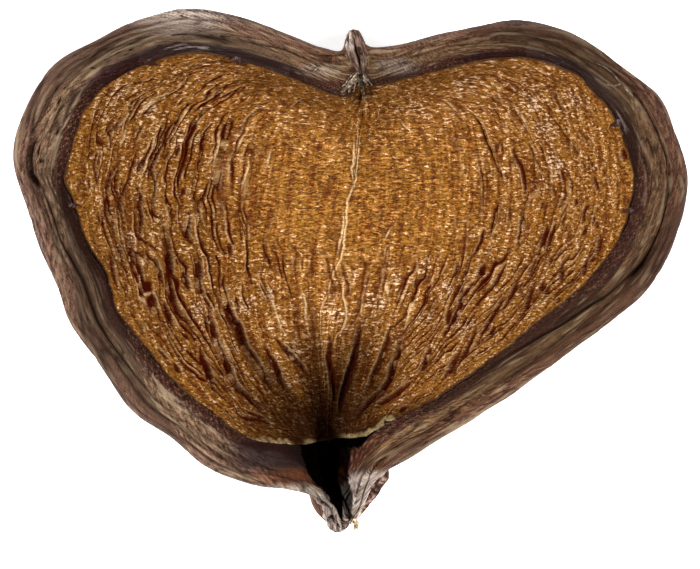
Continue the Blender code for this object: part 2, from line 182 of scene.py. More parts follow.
# Cracks of the lining as the camera sees them, dark red partly from the skin and partly painted shade, with a
# painted highlight
# on the bright edge: width, depth, how dark (1 is nearly black), which side has the bright edge (1 is the
# right of someone walking along it), and the way it runs, x and y in millimetres
CRACKS = [
    (0.10, 0.15, 0.6, 1, [(-42.8, 10.1), (-43.3, 8.5), (-43.3, 6.9)]),
    (0.14, 0.25, 0.8, -1, [(-40.2, 14.8), (-40.5, 14.0), (-41.0, 12.0), (-40.7, 10.0), (-40.6, 8.2)]),
    (0.18, 0.35, 0.8, 1, [(-36.7, 19.1), (-37.7, 18.0), (-38.6, 17.2), (-39.0, 16.5)]),
    (0.20, 0.30, 0.6, -1, [(-35.2, 21.6), (-35.4, 20.3)]),
    (0.20, 0.40, 0.9, -1, [(-36.4, 13.9), (-37.0, 12.3), (-37.4, 11.6), (-38.3, 10.6), (-38.6, 9.3),
        (-39.0, 8.0), (-39.1, 6.9), (-39.1, 4.7), (-39.0, 3.2), (-38.1, 1.9), (-37.9, 0.1), (-37.7, -1.2)]),
    (0.25, 0.35, 0.7, -1, [(-33.1, 18.1), (-33.8, 17.5), (-34.3, 16.5), (-34.7, 15.5)]),
    (0.20, 0.50, 1.0, -1, [(-26.9, 19.7), (-28.1, 18.7), (-29.0, 17.8), (-29.5, 16.7), (-30.0, 15.4),
        (-30.8, 14.1), (-31.5, 12.6), (-32.0, 11.3), (-32.3, 10.2), (-32.3, 8.4)]),
    (0.26, 0.55, 1.0, -1, [(-32.0, 11.6), (-31.8, 10.2), (-31.5, 8.2), (-31.8, 6.5), (-31.7, 5.0)]),
    (0.18, 0.35, 0.9, -1, [(-27.4, 15.2), (-27.7, 14.1), (-28.1, 13.1)]),
    (0.16, 0.30, 0.8, -1, [(-29.0, 14.0), (-29.9, 12.8)]),
    (0.20, 0.35, 0.7, -1, [(-23.4, 21.4), (-24.3, 19.4), (-25.1, 18.1), (-25.5, 17.1)]),
    (0.24, 0.45, 0.9, -1, [(-33.0, 13.1), (-33.6, 12.1), (-34.1, 10.6)]),
    (0.18, 0.35, 0.9, -1, [(-34.9, 9.6), (-36.1, 8.7), (-36.4, 7.5), (-36.8, 6.7), (-36.8, 4.7),
        (-36.5, 3.0)]),
    (0.22, 0.45, 0.9, -1, [(-33.7, 9.3), (-34.1, 8.2), (-33.6, 6.9), (-33.9, 5.2), (-33.6, 3.9),
        (-33.5, 2.9), (-33.7, 1.4), (-33.8, 0.3), (-33.5, -0.7)]),
    (0.22, 0.45, 0.9, -1, [(-22.6, 9.8), (-23.0, 8.5), (-23.5, 6.9), (-24.3, 6.1), (-24.6, 5.0),
        (-24.2, 3.5), (-23.7, 1.9)]),
    (0.30, 0.45, 0.8, -1, [(-20.8, 12.4), (-21.0, 10.6), (-21.2, 9.0), (-21.0, 7.4)]),
    (0.25, 0.40, 0.8, -1, [(-26.6, 8.2), (-27.0, 7.0)]),
    (0.12, 0.25, 0.9, -1, [(-40.1, 4.9), (-40.2, 3.2), (-39.6, 2.2), (-39.6, 0.3)]),
    (0.12, 0.25, 0.8, -1, [(-38.0, 3.9), (-38.0, 2.8)]),
    (0.18, 0.35, 0.9, -1, [(-38.4, -0.5), (-38.2, -1.7), (-38.2, -3.1), (-38.0, -4.6), (-37.7, -6.2),
        (-37.2, -7.7), (-37.2, -8.7)]),
    (0.22, 0.45, 0.9, -1, [(-36.7, -0.3), (-36.9, -2.0), (-36.7, -3.6), (-36.3, -4.9)]),
    (0.16, 0.30, 0.8, -1, [(-35.7, 0.9), (-35.7, -0.6)]),
    (0.26, 0.50, 1.0, -1, [(-35.2, -0.2), (-35.1, -2.2), (-34.9, -4.0), (-34.4, -4.9)]),
    (0.22, 0.50, 1.0, -1, [(-34.7, -0.9), (-34.3, -2.5), (-34.0, -4.1), (-33.6, -5.4), (-33.3, -7.0),
        (-32.8, -8.2), (-32.1, -8.7), (-31.6, -9.6), (-31.0, -11.3), (-30.3, -12.6)]),
    (0.26, 0.35, 0.7, -1, [(-32.7, -8.6), (-32.2, -10.0), (-32.0, -11.8)]),
    (0.14, 0.30, 0.7, -1, [(-32.5, -0.7), (-32.4, -1.8), (-32.6, -2.8), (-31.9, -4.1)]),
    (0.22, 0.45, 0.9, -1, [(-31.2, -2.6), (-31.0, -4.1), (-30.4, -5.9), (-29.9, -7.4)]),
    (0.34, 0.60, 1.0, -1, [(-30.5, 4.7), (-30.3, 3.2), (-30.0, 1.1), (-29.6, -0.7), (-29.2, -2.5),
        (-28.9, -4.4), (-29.0, -5.9), (-28.9, -7.5), (-28.6, -9.0), (-28.1, -10.6), (-27.3, -11.9),
        (-26.0, -13.4), (-24.9, -14.8)]),
    (0.28, 0.50, 1.0, -1, [(-29.9, -9.6), (-29.5, -11.3), (-28.9, -12.9), (-28.4, -14.2)]),
    (0.36, 0.50, 1.0, -1, [(-25.8, 4.7), (-26.1, 3.0), (-26.4, 1.7), (-26.2, 0.3), (-25.5, -0.4),
        (-25.1, -0.9)]),
    (0.34, 0.50, 0.9, -1, [(-26.7, -4.6), (-26.7, -5.9), (-26.2, -7.2), (-25.8, -8.2)]),
    (0.16, 0.30, 0.8, -1, [(-27.9, -2.8), (-27.7, -4.0)]),
    (0.28, 0.50, 0.9, -1, [(-24.1, -2.2), (-24.3, -3.8), (-24.2, -5.6), (-24.5, -6.7), (-23.9, -8.2),
        (-23.4, -9.6)]),
    (0.16, 0.30, 0.8, -1, [(-36.0, 4.9), (-36.1, 3.8)]),
    (0.16, 0.30, 0.8, -1, [(-32.9, 4.9), (-32.3, 3.5)]),
    (0.10, 0.20, 0.7, -1, [(-40.9, 0.2), (-40.6, -1.6)]),
    (0.16, 0.25, 0.6, -1, [(-36.0, -6.8), (-35.8, -8.2)]),
    (0.14, 0.25, 0.6, -1, [(-33.8, -12.7), (-33.3, -14.2), (-32.8, -15.8)]),
    (0.18, 0.30, 0.8, -1, [(-30.8, -17.2), (-30.2, -18.1), (-29.2, -19.3)]),
    (0.22, 0.35, 0.9, -1, [(-28.3, -19.7), (-27.2, -21.4)]),
    (0.32, 0.60, 1.0, -1, [(-23.6, -9.6), (-23.0, -11.2), (-22.5, -12.6), (-22.1, -13.8), (-21.7, -15.6),
        (-20.9, -17.7), (-19.9, -19.7), (-19.2, -21.3), (-18.4, -23.2), (-16.8, -24.6), (-15.8, -25.6),
        (-14.6, -26.8), (-13.5, -28.3)]),
    (0.22, 0.45, 1.0, -1, [(-23.2, -12.2), (-23.0, -14.0), (-22.6, -15.0)]),
    (0.36, 0.60, 0.9, -1, [(-21.4, -4.8), (-21.1, -6.7), (-20.5, -8.0), (-20.2, -9.6), (-19.8, -11.2),
        (-19.2, -12.7), (-18.2, -13.5), (-17.6, -14.8), (-16.8, -17.3), (-15.6, -18.7), (-14.6, -20.5),
        (-13.5, -22.2), (-12.3, -24.2), (-11.1, -25.2)]),
    (0.30, 0.45, 0.9, -1, [(-13.8, -17.0), (-13.0, -18.5), (-11.9, -20.3), (-11.5, -22.1), (-10.5, -24.0)]),
    (0.30, 0.40, 0.8, -1, [(-12.4, -15.4), (-11.0, -16.9), (-9.5, -18.5), (-7.7, -20.5), (-6.9, -22.1)]),
    (0.32, 0.55, 1.0, -1, [(-24.2, -16.7), (-23.7, -19.3), (-22.9, -21.1), (-22.3, -23.4), (-21.5, -24.6)]),
    (0.18, 0.30, 0.9, -1, [(-21.3, -20.4), (-20.2, -21.9)]),
    (0.22, 0.35, 0.9, -1, [(-18.6, -27.5), (-16.6, -28.5), (-14.6, -28.7), (-12.5, -29.5)]),
    (0.18, 0.30, 0.9, -1, [(-17.2, -27.2), (-15.4, -27.9), (-13.4, -28.6)]),
    (0.30, 0.40, 0.8, -1, [(-17.6, 6.3), (-17.7, 4.7), (-17.5, 3.5), (-17.1, 2.5), (-16.8, 0.9),
        (-16.5, 0.1)]),
    (0.16, 0.25, 0.8, -1, [(-18.0, 9.8), (-17.6, 9.2)]),
    (0.28, 0.35, 0.8, -1, [(-19.5, -0.3), (-19.4, -1.5), (-19.1, -2.7)]),
    (0.18, 0.25, 0.6, -1, [(-17.0, 13.0), (-16.4, 14.3), (-15.6, 14.0), (-15.0, 12.9)]),
    (0.13, 0.25, 0.7, 1, [(-16.6, 24.8), (-18.5, 23.9), (-20.4, 22.9), (-22.3, 22.0), (-23.3, 21.3)]),
    (0.12, 0.20, 0.6, 1, [(-7.2, 22.6), (-8.6, 21.8), (-9.5, 21.0)]),
    (0.35, 0.55, 0.9, 1, [(-3.4, -14.5), (-3.3, -17.0), (-3.5, -19.0), (-3.0, -21.0), (-2.8, -23.0),
        (-2.4, -26.0)]),
    (0.40, 0.60, 0.9, 1, [(1.6, -13.0), (1.2, -16.0), (0.8, -17.7), (0.4, -19.5), (-0.2, -21.2),
        (-0.8, -23.4), (-1.4, -25.4), (-1.6, -28.3)]),
    (0.32, 0.45, 0.8, 1, [(6.7, -13.0), (5.7, -16.7), (4.7, -19.3), (3.9, -21.1), (3.1, -23.4),
        (2.2, -25.0)]),
    (0.34, 0.55, 1.0, 1, [(7.8, -15.0), (7.6, -17.7), (6.7, -20.1), (6.1, -22.2), (4.9, -24.2),
        (2.7, -26.2), (1.6, -27.5), (1.2, -29.0)]),
    (0.30, 0.50, 0.9, 1, [(10.2, -22.0), (9.0, -23.2), (7.6, -24.4), (5.7, -25.6), (3.7, -26.8)]),
    (0.32, 0.50, 0.9, 1, [(13.1, -16.9), (12.2, -18.9), (11.6, -20.9), (11.4, -21.8)]),
    (0.28, 0.50, 0.9, 1, [(22.1, 0.4), (22.3, 1.4), (22.9, 3.0), (23.1, 4.5), (23.5, 6.0)]),
    (0.30, 0.45, 1.0, 1, [(21.3, -3.7), (20.9, -4.9), (20.5, -6.2)]),
    (0.26, 0.50, 1.0, 1, [(20.2, -6.2), (19.6, -6.8), (18.9, -7.9), (18.2, -8.9), (17.6, -9.9),
        (17.4, -11.0), (16.8, -12.2), (16.0, -13.6), (15.1, -14.8), (14.5, -16.0)]),
    (0.14, 0.30, 0.9, 1, [(18.0, -7.7), (17.8, -8.8)]),
    (0.17, 0.35, 1.0, 1, [(21.2, 2.2), (21.0, 0.8), (20.7, -0.5), (20.0, -1.7), (19.3, -3.0)]),
    (0.22, 0.35, 0.8, 1, [(17.2, -3.8), (16.9, -4.9), (16.6, -6.0)]),
    (0.18, 0.35, 0.9, 1, [(24.9, -3.7), (24.2, -5.1), (23.6, -6.1), (23.2, -7.0), (21.5, -8.4)]),
    (0.20, 0.35, 1.0, 1, [(24.2, -9.0), (23.8, -10.5), (23.1, -11.6), (22.3, -13.0), (21.4, -14.3),
        (20.4, -16.6)]),
    (0.30, 0.40, 0.9, 1, [(15.9, -10.5), (15.8, -12.0), (15.4, -13.9)]),
    (0.24, 0.40, 0.9, -1, [(20.2, -13.2), (19.6, -15.7), (18.8, -17.3), (17.6, -19.3), (16.7, -20.9),
        (16.5, -22.0)]),
    (0.28, 0.45, 0.9, 1, [(18.0, -17.3), (16.9, -18.9), (15.9, -20.9), (14.5, -22.8)]),
    (0.18, 0.30, 0.9, 1, [(22.9, -13.8), (22.2, -16.0)]),
    (0.18, 0.30, 0.9, -1, [(19.2, -12.8), (18.4, -13.8)]),
    (0.20, 0.30, 0.9, 1, [(9.2, -26.4), (7.6, -27.5)]),
    (0.22, 0.30, 0.6, 1, [(5.9, -0.8), (5.8, -2.0), (5.6, -3.4), (5.6, -4.6)]),
    (0.16, 0.25, 0.8, 1, [(10.4, -6.0), (10.3, -7.9)]),
    (0.24, 0.50, 1.0, -1, [(19.3, 20.0), (20.2, 18.9), (21.1, 17.5), (21.6, 15.9), (22.3, 14.4),
        (22.8, 13.1), (23.3, 11.8), (23.8, 10.7), (24.1, 9.7), (24.4, 8.6)]),
    (0.13, 0.25, 0.6, 1, [(20.1, 14.3), (20.3, 12.5), (20.8, 10.5), (21.0, 9.0), (21.0, 5.0), (20.9, 3.0)]),
    (0.18, 0.30, 0.6, 1, [(24.0, 15.2), (24.2, 13.8)]),
    (0.22, 0.40, 0.9, 1, [(25.8, 15.4), (26.1, 13.4), (26.7, 12.4), (27.4, 11.0), (27.6, 9.8),
        (27.8, 8.2), (27.8, 6.6)]),
    (0.12, 0.20, 0.6, 1, [(28.4, 15.2), (28.9, 13.8), (29.8, 12.0), (30.6, 11.0), (31.0, 10.2)]),
    (0.16, 0.30, 0.8, 1, [(32.1, 8.8), (32.4, 7.5), (32.7, 6.6)]),
    (0.13, 0.25, 0.8, 1, [(33.4, 11.3), (33.7, 10.0), (33.8, 9.0)]),
    (0.13, 0.25, 0.8, 1, [(35.0, 9.4), (35.2, 8.3), (35.3, 7.2)]),
    (0.22, 0.35, 0.8, -1, [(35.1, 15.2), (36.2, 13.6)]),
    (0.14, 0.25, 0.7, 1, [(36.4, 12.9), (37.1, 12.0), (37.3, 10.4)]),
    (0.16, 0.25, 0.7, 1, [(36.3, 17.3), (37.1, 16.6), (37.8, 15.4)]),
    (0.13, 0.25, 0.8, 1, [(38.2, 12.5), (38.5, 11.4)]),
    (0.17, 0.30, 0.9, 1, [(38.7, 10.3), (39.1, 8.8), (39.6, 7.4)]),
    (0.10, 0.20, 0.7, 1, [(41.2, 10.2), (41.2, 8.5)]),
    (0.10, 0.20, 0.7, 1, [(42.3, 9.6), (42.6, 7.8)]),
    (0.18, 0.25, 0.6, 1, [(25.4, 5.7), (25.3, 4.0), (25.2, 2.5)]),
    (0.30, 0.50, 1.0, 1, [(27.4, 4.1), (27.3, 2.6), (27.3, 1.2), (26.9, 0.0), (26.7, -1.3)]),
    (0.18, 0.30, 0.8, 1, [(30.5, 6.1), (30.5, 4.9)]),
    (0.26, 0.45, 1.0, 1, [(31.1, 2.8), (31.2, 1.3), (30.8, 0.2), (30.6, -0.7), (30.4, -1.6), (29.9, -2.5)]),
    (0.13, 0.30, 0.7, 1, [(29.9, -2.5), (29.2, -3.8), (28.7, -5.4), (28.4, -6.4)]),
    (0.20, 0.40, 0.9, 1, [(32.7, 3.2), (32.4, 2.0), (32.0, 1.0), (31.6, -0.3), (31.3, -1.5), (30.9, -2.7)]),
    (0.13, 0.25, 0.8, 1, [(34.5, 4.3), (33.8, 3.0), (33.6, 2.2)]),
    (0.13, 0.25, 0.8, 1, [(34.3, 2.5), (34.2, 1.0)]),
    (0.18, 0.30, 0.9, 1, [(35.9, 6.6), (35.8, 5.1)]),
    (0.24, 0.40, 0.9, 1, [(37.8, 6.0), (37.5, 5.0), (37.2, 3.7), (37.0, 2.4)]),
    (0.16, 0.30, 0.9, 1, [(37.3, 2.4), (37.2, 1.3), (36.5, 0.4)]),
    (0.16, 0.30, 0.9, 1, [(38.7, 3.7), (38.6, 2.3)]),
    (0.16, 0.30, 0.9, 1, [(39.2, 3.1), (39.2, 1.6)]),
    (0.22, 0.40, 0.9, 1, [(39.7, 1.1), (39.7, 0.0), (39.5, -1.2), (39.2, -2.6)]),
    (0.22, 0.30, 0.9, 1, [(38.7, -2.7), (38.1, -3.8)]),
    (0.20, 0.30, 0.9, 1, [(37.4, -3.3), (37.2, -4.5), (37.0, -6.1)]),
    (0.25, 0.45, 0.9, 1, [(35.0, -2.1), (34.6, -3.1), (34.0, -4.0), (33.6, -5.0), (33.6, -6.2),
        (33.3, -7.5)]),
    (0.20, 0.30, 0.8, 1, [(32.0, -2.7), (31.9, -3.9)]),
    (0.22, 0.35, 0.9, 1, [(30.9, -6.4), (30.6, -7.3), (30.2, -8.8)]),
    (0.26, 0.35, 0.9, 1, [(31.4, -7.4), (31.2, -9.2)]),
    (0.18, 0.30, 0.8, 1, [(33.3, -9.0), (32.9, -10.2)]),
    (0.20, 0.35, 0.9, 1, [(29.2, -6.2), (29.1, -7.3), (28.8, -8.6), (28.4, -9.8), (28.0, -11.0),
        (27.7, -12.0), (27.0, -13.4)]),
    (0.20, 0.35, 0.9, 1, [(26.7, -5.4), (26.5, -7.0), (25.9, -8.5), (25.2, -9.7), (24.5, -11.0),
        (24.0, -11.8)]),
    (0.10, 0.20, 0.7, 1, [(27.6, -6.9), (27.3, -8.4), (27.1, -10.1)]),
    (0.34, 0.40, 1.0, 1, [(43.3, 14.4), (43.5, 13.5), (43.9, 12.6)]),
]

# Soft brown hollows between the folds, darkened as painted shade: width, depth, how strong, and the way each
# runs
HOLLOWS = [
    (1.00, 0.55, 0.85, [(-15.6, 19.4), (-16.8, 18.1), (-17.9, 17.1), (-19.4, 15.7), (-20.2, 13.9),
        (-20.9, 11.6), (-21.0, 9.8), (-20.8, 7.4), (-20.5, 5.8), (-20.4, 3.9), (-20.5, 2.4), (-20.7, 0.4)]),
    (0.60, 0.30, 0.50, [(-12.2, 17.2), (-13.4, 15.5), (-13.8, 14.2), (-14.2, 12.9), (-14.5, 11.5),
        (-14.8, 10.0)]),
    (0.40, 0.20, 0.40, [(-10.0, 17.2), (-11.4, 15.3)]),
    (0.55, 0.20, 0.55, [(-13.2, 25.3), (-14.8, 24.0), (-15.8, 22.7)]),
    (0.45, 0.15, 0.45, [(-2.2, 4.0), (-2.4, 1.0), (-2.8, -1.5)]),
    (0.60, 0.20, 0.50, [(-1.5, -4.5), (-2.0, -6.5), (-2.6, -8.5), (-2.7, -10.5)]),
    (0.70, 0.35, 0.60, [(-6.2, -9.0), (-5.9, -12.0), (-5.9, -15.0), (-5.8, -18.5), (-5.4, -22.0)]),
    (0.80, 0.40, 0.70, [(-23.6, -9.2), (-22.6, -12.6), (-21.7, -15.6), (-20.6, -18.2), (-19.4, -21.0),
        (-18.0, -23.6), (-15.8, -25.8), (-13.5, -28.3)]),
    (0.90, 0.45, 0.80, [(-20.4, -8.4), (-19.8, -11.2), (-18.6, -13.9), (-17.4, -16.6), (-15.8, -19.0),
        (-14.2, -21.4), (-12.6, -23.8), (-11.1, -25.2)]),
    (0.70, 0.30, 0.60, [(-29.8, 2.0), (-29.4, -1.5), (-29.0, -5.0), (-28.8, -8.5), (-27.8, -11.2),
        (-26.0, -13.4)]),
    (0.70, 0.25, 0.60, [(-31.9, 10.0), (-31.6, 7.0), (-31.6, 4.6)]),
    (0.60, 0.30, 0.55, [(-26.0, 5.0), (-26.4, 2.0), (-25.6, -0.6)]),
    (0.75, 0.30, 0.60, [(5.9, -1.0), (5.7, -2.6), (5.6, -4.5), (5.2, -6.5)]),
    (0.45, 0.20, 0.55, [(9.6, -1.8), (8.9, -3.0), (8.3, -4.8)]),
    (0.80, 0.35, 0.60, [(11.9, -5.0), (11.7, -7.2)]),
    (0.95, 0.40, 0.35, [(14.0, -8.4), (13.6, -10.0), (13.4, -12.0), (13.2, -14.5)]),
    (0.80, 0.40, 0.60, [(9.0, -11.0), (8.4, -13.6), (7.8, -16.6), (6.8, -19.8), (5.6, -22.8), (3.4, -25.8)]),
    (0.45, 0.20, 0.60, [(10.2, 19.1), (11.0, 17.5), (11.8, 15.8), (12.2, 14.0), (13.1, 12.4)]),
    (0.45, 0.20, 0.50, [(14.0, 18.2), (15.6, 16.5), (16.8, 15.0), (17.3, 13.6)]),
    (0.30, 0.15, 0.50, [(16.2, 19.5), (17.0, 18.0), (17.9, 16.8), (19.3, 15.2)]),
    (0.55, 0.25, 0.55, [(24.4, 22.2), (25.6, 21.0), (26.3, 19.7), (27.4, 18.2), (28.0, 16.4)]),
    (0.35, 0.20, 0.60, [(15.0, 22.4), (16.2, 21.4), (17.8, 20.4), (19.3, 19.8)]),
    (0.50, 0.25, 0.50, [(22.0, 0.2), (22.0, -1.6), (21.3, -3.8), (20.6, -6.2)]),
    (0.50, 0.20, 0.55, [(12.0, 21.0), (12.8, 20.2), (13.8, 19.0)]),
]

# Sharp crests beside the folds, which catch the light and are painted pale as highlights: width, height and
# the way each runs
CRESTS = [
    (0.13, 0.25, [(1.2, 20.5), (1.2, 17.0), (1.0, 13.5), (0.8, 11.1), (0.6, 9.6), (0.2, 7.9), (-0.6, 6.3),
        (-0.7, 3.0), (-1.0, 0.8), (-1.3, -1.6), (-1.6, -3.1), (-2.2, -4.0), (-2.8, -5.5), (-3.4, -7.0),
        (-3.8, -9.0), (-4.6, -10.5), (-4.8, -14.0), (-4.6, -18.0)]),
    (0.16, 0.25, [(0.6, 16.0), (0.5, 13.0), (0.2, 11.0), (0.4, 9.4)]),
    (0.16, 0.25, [(-1.2, 4.8), (-1.3, 1.5), (-1.8, -0.6), (-2.2, -2.6)]),
    (0.16, 0.25, [(-0.2, -4.8), (-0.9, -6.0), (-1.2, -7.5), (-1.1, -9.5), (-0.7, -10.5), (-0.7, -12.0),
        (-1.3, -14.0), (-2.4, -15.4), (-2.8, -17.4)]),
    (0.15, 0.25, [(-7.9, -8.0), (-7.5, -9.0), (-7.3, -10.0), (-7.3, -12.8)]),
    (0.15, 0.25, [(-13.7, -6.3), (-13.2, -7.5), (-12.7, -9.0), (-12.3, -10.5), (-11.9, -12.0),
        (-11.3, -13.7), (-10.2, -15.6)]),
    (0.17, 0.30, [(-19.1, -9.0), (-18.8, -10.5), (-18.3, -12.5), (-17.7, -13.6), (-17.2, -15.2),
        (-16.2, -17.2), (-14.9, -19.0)]),
    (0.17, 0.30, [(-16.0, 18.3), (-17.2, 16.5), (-18.0, 15.0), (-19.0, 13.0), (-19.6, 11.0), (-20.0, 10.0)]),
    (0.15, 0.25, [(-20.3, 17.3), (-21.1, 15.3), (-21.3, 14.0), (-22.6, 12.4), (-23.4, 11.4)]),
    (0.15, 0.25, [(-16.4, 13.5), (-16.4, 11.5), (-16.9, 10.0), (-17.5, 8.2), (-17.5, 7.6)]),
    (0.15, 0.25, [(-12.4, 15.0), (-13.0, 13.5), (-13.3, 11.7), (-13.6, 11.0)]),
    (0.15, 0.30, [(-25.0, 22.2), (-26.0, 21.4), (-26.5, 20.2), (-27.2, 19.2), (-28.4, 17.9)]),
    (0.13, 0.25, [(-31.6, 22.8), (-32.3, 21.6), (-33.0, 20.2)]),
    (0.15, 0.25, [(-35.6, 20.6), (-35.9, 19.5), (-36.9, 18.6), (-37.8, 17.8), (-38.2, 16.2)]),
    (0.12, 0.20, [(-35.9, 18.0), (-36.4, 16.2), (-37.0, 14.8)]),
    (0.15, 0.30, [(10.9, -8.0), (10.4, -8.9), (10.1, -9.8), (9.4, -11.5), (8.9, -13.2), (8.4, -14.4)]),
    (0.13, 0.25, [(13.4, -5.5), (12.8, -7.3)]),
    (0.12, 0.25, [(6.3, 2.0), (5.5, 0.2)]),
    (0.25, 0.30, [(5.6, -6.1), (5.7, -7.4), (6.2, -8.9)]),
    (0.15, 0.25, [(2.2, -8.3), (1.8, -10.0), (1.6, -12.2)]),
    (0.13, 0.30, [(22.3, 25.2), (23.3, 24.5), (23.7, 23.2), (23.5, 22.2)]),
    (0.13, 0.25, [(24.6, 22.2), (26.0, 20.8), (27.0, 20.3), (27.9, 18.3), (28.4, 17.0)]),
    (0.12, 0.20, [(7.8, 19.0), (9.0, 17.8), (10.0, 17.0)]),
    (0.12, 0.20, [(14.6, 22.6), (15.8, 21.6), (17.0, 20.4)]),
    (0.15, 0.30, [(-20.7, -15.4), (-19.8, -17.6), (-18.9, -19.8), (-18.4, -21.2)]),
    (0.15, 0.30, [(-33.4, -5.6), (-32.9, -7.2), (-32.0, -8.2), (-31.2, -9.6), (-30.4, -11.8)]),
]

# Lines on the rim: width, depth, how dark, and the way each runs
RIM_FURROWS = [
    (0.42, 0.80, 1.0, [(-48.0, 26.4), (-49.8, 22.0), (-50.2, 19.0), (-50.5, 16.2), (-51.1, 12.8),
        (-50.7, 10.4), (-49.4, 8.4), (-48.0, 6.0), (-47.0, 3.2), (-46.4, 0.6), (-45.4, -1.2),
        (-43.9, -3.6), (-42.3, -6.4), (-41.2, -9.6), (-40.2, -12.4), (-38.6, -15.2), (-36.9, -18.0),
        (-35.2, -20.2), (-33.2, -22.4), (-31.6, -24.4), (-29.4, -26.6), (-26.0, -29.2)]),
    (0.35, 0.45, 0.6, [(-26.6, -29.0), (-22.0, -32.0), (-18.0, -34.2), (-13.0, -36.6), (-8.0, -38.3),
        (-4.0, -38.9)]),
    (0.16, 0.30, 0.9, [(-39.4, -19.6), (-37.8, -22.2), (-36.4, -24.2), (-35.2, -26.2)]),
    (0.18, 0.35, 0.8, [(-47.6, 8.6), (-46.8, 6.8), (-46.2, 5.4)]),
    (0.15, 0.30, 0.8, [(-48.8, 11.0), (-47.8, 9.2), (-47.2, 7.2)]),
    (0.26, 0.45, 0.8, [(-44.6, 28.6), (-41.0, 31.0), (-38.0, 32.4), (-34.6, 33.6), (-29.0, 34.4)]),
    (0.20, 0.35, 0.8, [(-42.6, 27.6), (-39.6, 29.8), (-36.6, 31.0)]),
    (0.55, 0.60, 0.9, [(-27.6, 32.8), (-24.6, 32.6), (-21.0, 31.8), (-17.6, 31.2)]),
    (0.20, 0.30, 0.7, [(-16.6, 31.4), (-13.0, 30.8), (-10.0, 30.0)]),
    (0.18, 0.30, 0.8, [(-16.0, 29.6), (-12.6, 28.4), (-9.0, 27.2), (-6.0, 26.0)]),
    (0.12, 0.35, 1.0, [(15.0, 30.6), (17.0, 31.0), (20.0, 31.4), (22.8, 32.2)]),
    (0.30, 0.40, 0.8, [(27.0, 31.8), (30.0, 31.8), (33.0, 30.6), (36.0, 29.0)]),
    (0.20, 0.35, 0.8, [(36.0, 31.2), (40.0, 28.8), (44.0, 26.2), (47.0, 21.8)]),
    (0.16, 0.35, 0.9, [(46.4, 17.2), (47.4, 15.0), (48.2, 12.6)]),
    (0.38, 0.75, 1.0, [(50.2, 3.4), (49.4, 1.6), (48.4, -0.8), (46.8, -3.0), (45.2, -5.0), (43.2, -6.8),
        (40.6, -8.6), (38.0, -10.0), (35.4, -11.8), (33.0, -13.4), (30.6, -14.6), (27.0, -16.8),
        (22.4, -19.8), (18.0, -22.4)]),
    (0.22, 0.30, 0.5, [(18.0, -22.4), (12.0, -26.6), (7.0, -29.6), (3.0, -32.4)]),
    (0.16, 0.30, 0.6, [(20.0, -26.4), (15.0, -29.6), (10.0, -32.4), (6.0, -34.6)]),
]
RIM_CRESTS = [
    (0.16, 0.25, [(15.6, 30.8), (19.0, 31.6), (23.4, 32.7), (28.0, 32.7), (31.6, 31.9), (34.6, 30.6),
        (38.2, 28.6)]),
    (0.14, 0.25, [(38.8, 28.1), (41.4, 26.6), (42.8, 25.0), (44.2, 23.2), (46.0, 20.6), (47.4, 17.2)]),
    (0.30, 0.30, [(30.6, 33.8), (34.6, 32.4), (38.2, 30.4), (40.6, 28.6)]),
    (0.35, 0.25, [(52.2, 10.4), (52.6, 8.0), (52.0, 5.6)]),
    (0.22, 0.20, [(-38.0, 31.6), (-34.0, 33.0), (-29.6, 34.2), (-25.4, 34.8), (-21.0, 34.0), (-17.4, 33.0)]),
    (0.20, 0.20, [(-42.8, 26.0), (-40.2, 28.2), (-36.4, 30.2), (-33.0, 31.6), (-28.0, 33.4)]),
    (0.30, 0.20, [(-52.6, 17.8), (-52.7, 15.6), (-53.0, 12.6), (-52.4, 10.4)]),
    (0.18, 0.20, [(-44.0, 20.6), (-46.2, 17.0), (-47.4, 13.4), (-47.6, 11.6)]),
    (0.14, 0.20, [(-43.0, -13.2), (-40.4, -17.8), (-38.4, -21.0), (-36.6, -23.6)]),
    (0.16, 0.20, [(-32.8, -23.0), (-30.4, -27.0), (-27.0, -29.4), (-24.0, -31.6), (-20.0, -34.2)]),
    (0.22, 0.20, [(-16.0, -37.6), (-11.0, -39.0), (-6.0, -39.6), (-3.4, -39.4)]),
    (0.24, 0.20, [(6.0, -36.0), (10.0, -34.0), (15.0, -31.0), (20.0, -27.6), (26.0, -23.6)]),
    (0.20, 0.20, [(0.6, -37.0), (3.0, -35.4), (7.0, -33.4), (12.0, -30.6)]),
]

# Families of small creases in the lining, darkened as painted shade: spacing, width, length of a run, depth,
# darkness, seed. They are counted over this width, which is about that of half the lining.
LANES_WIDTH = 47.0
CREASES = [
    (2.40, 0.28, 7.0, 0.34, 1.00, 33),
    (1.50, 0.19, 3.5, 0.17, 0.90, 43),
]

# Where the lining glitters, with painted glints: x, y and radius
SHEEN = [
    (-39.5, 20.3, 2.5), (-37.0, 24.0, 2.5), (-32.0, 21.1, 2.2), (-27.1, 16.2, 2.0), (-23.9, 16.6, 1.6),
    (-33.1, 12.0, 2.0), (-24.0, -11.5, 2.2), (-16.5, -10.4, 1.8), (-13.0, -8.4, 1.6), (-9.0, -17.8, 2.0),
    (-2.9, -11.6, 1.5), (0.6, -5.4, 1.3), (4.4, -9.6, 2.4), (7.9, -6.5, 2.4), (12.0, -4.0, 2.2),
    (15.2, -7.8, 2.0), (12.0, -12.5, 1.6), (17.6, -13.4, 2.0), (28.8, 22.3, 2.4), (35.0, 22.5, 2.6),
    (32.7, 11.4, 2.4), (31.0, 17.0, 2.4), (10.0, 21.0, 1.8), (18.0, 24.5, 2.0), (-35.0, 0.0, 2.0),
]

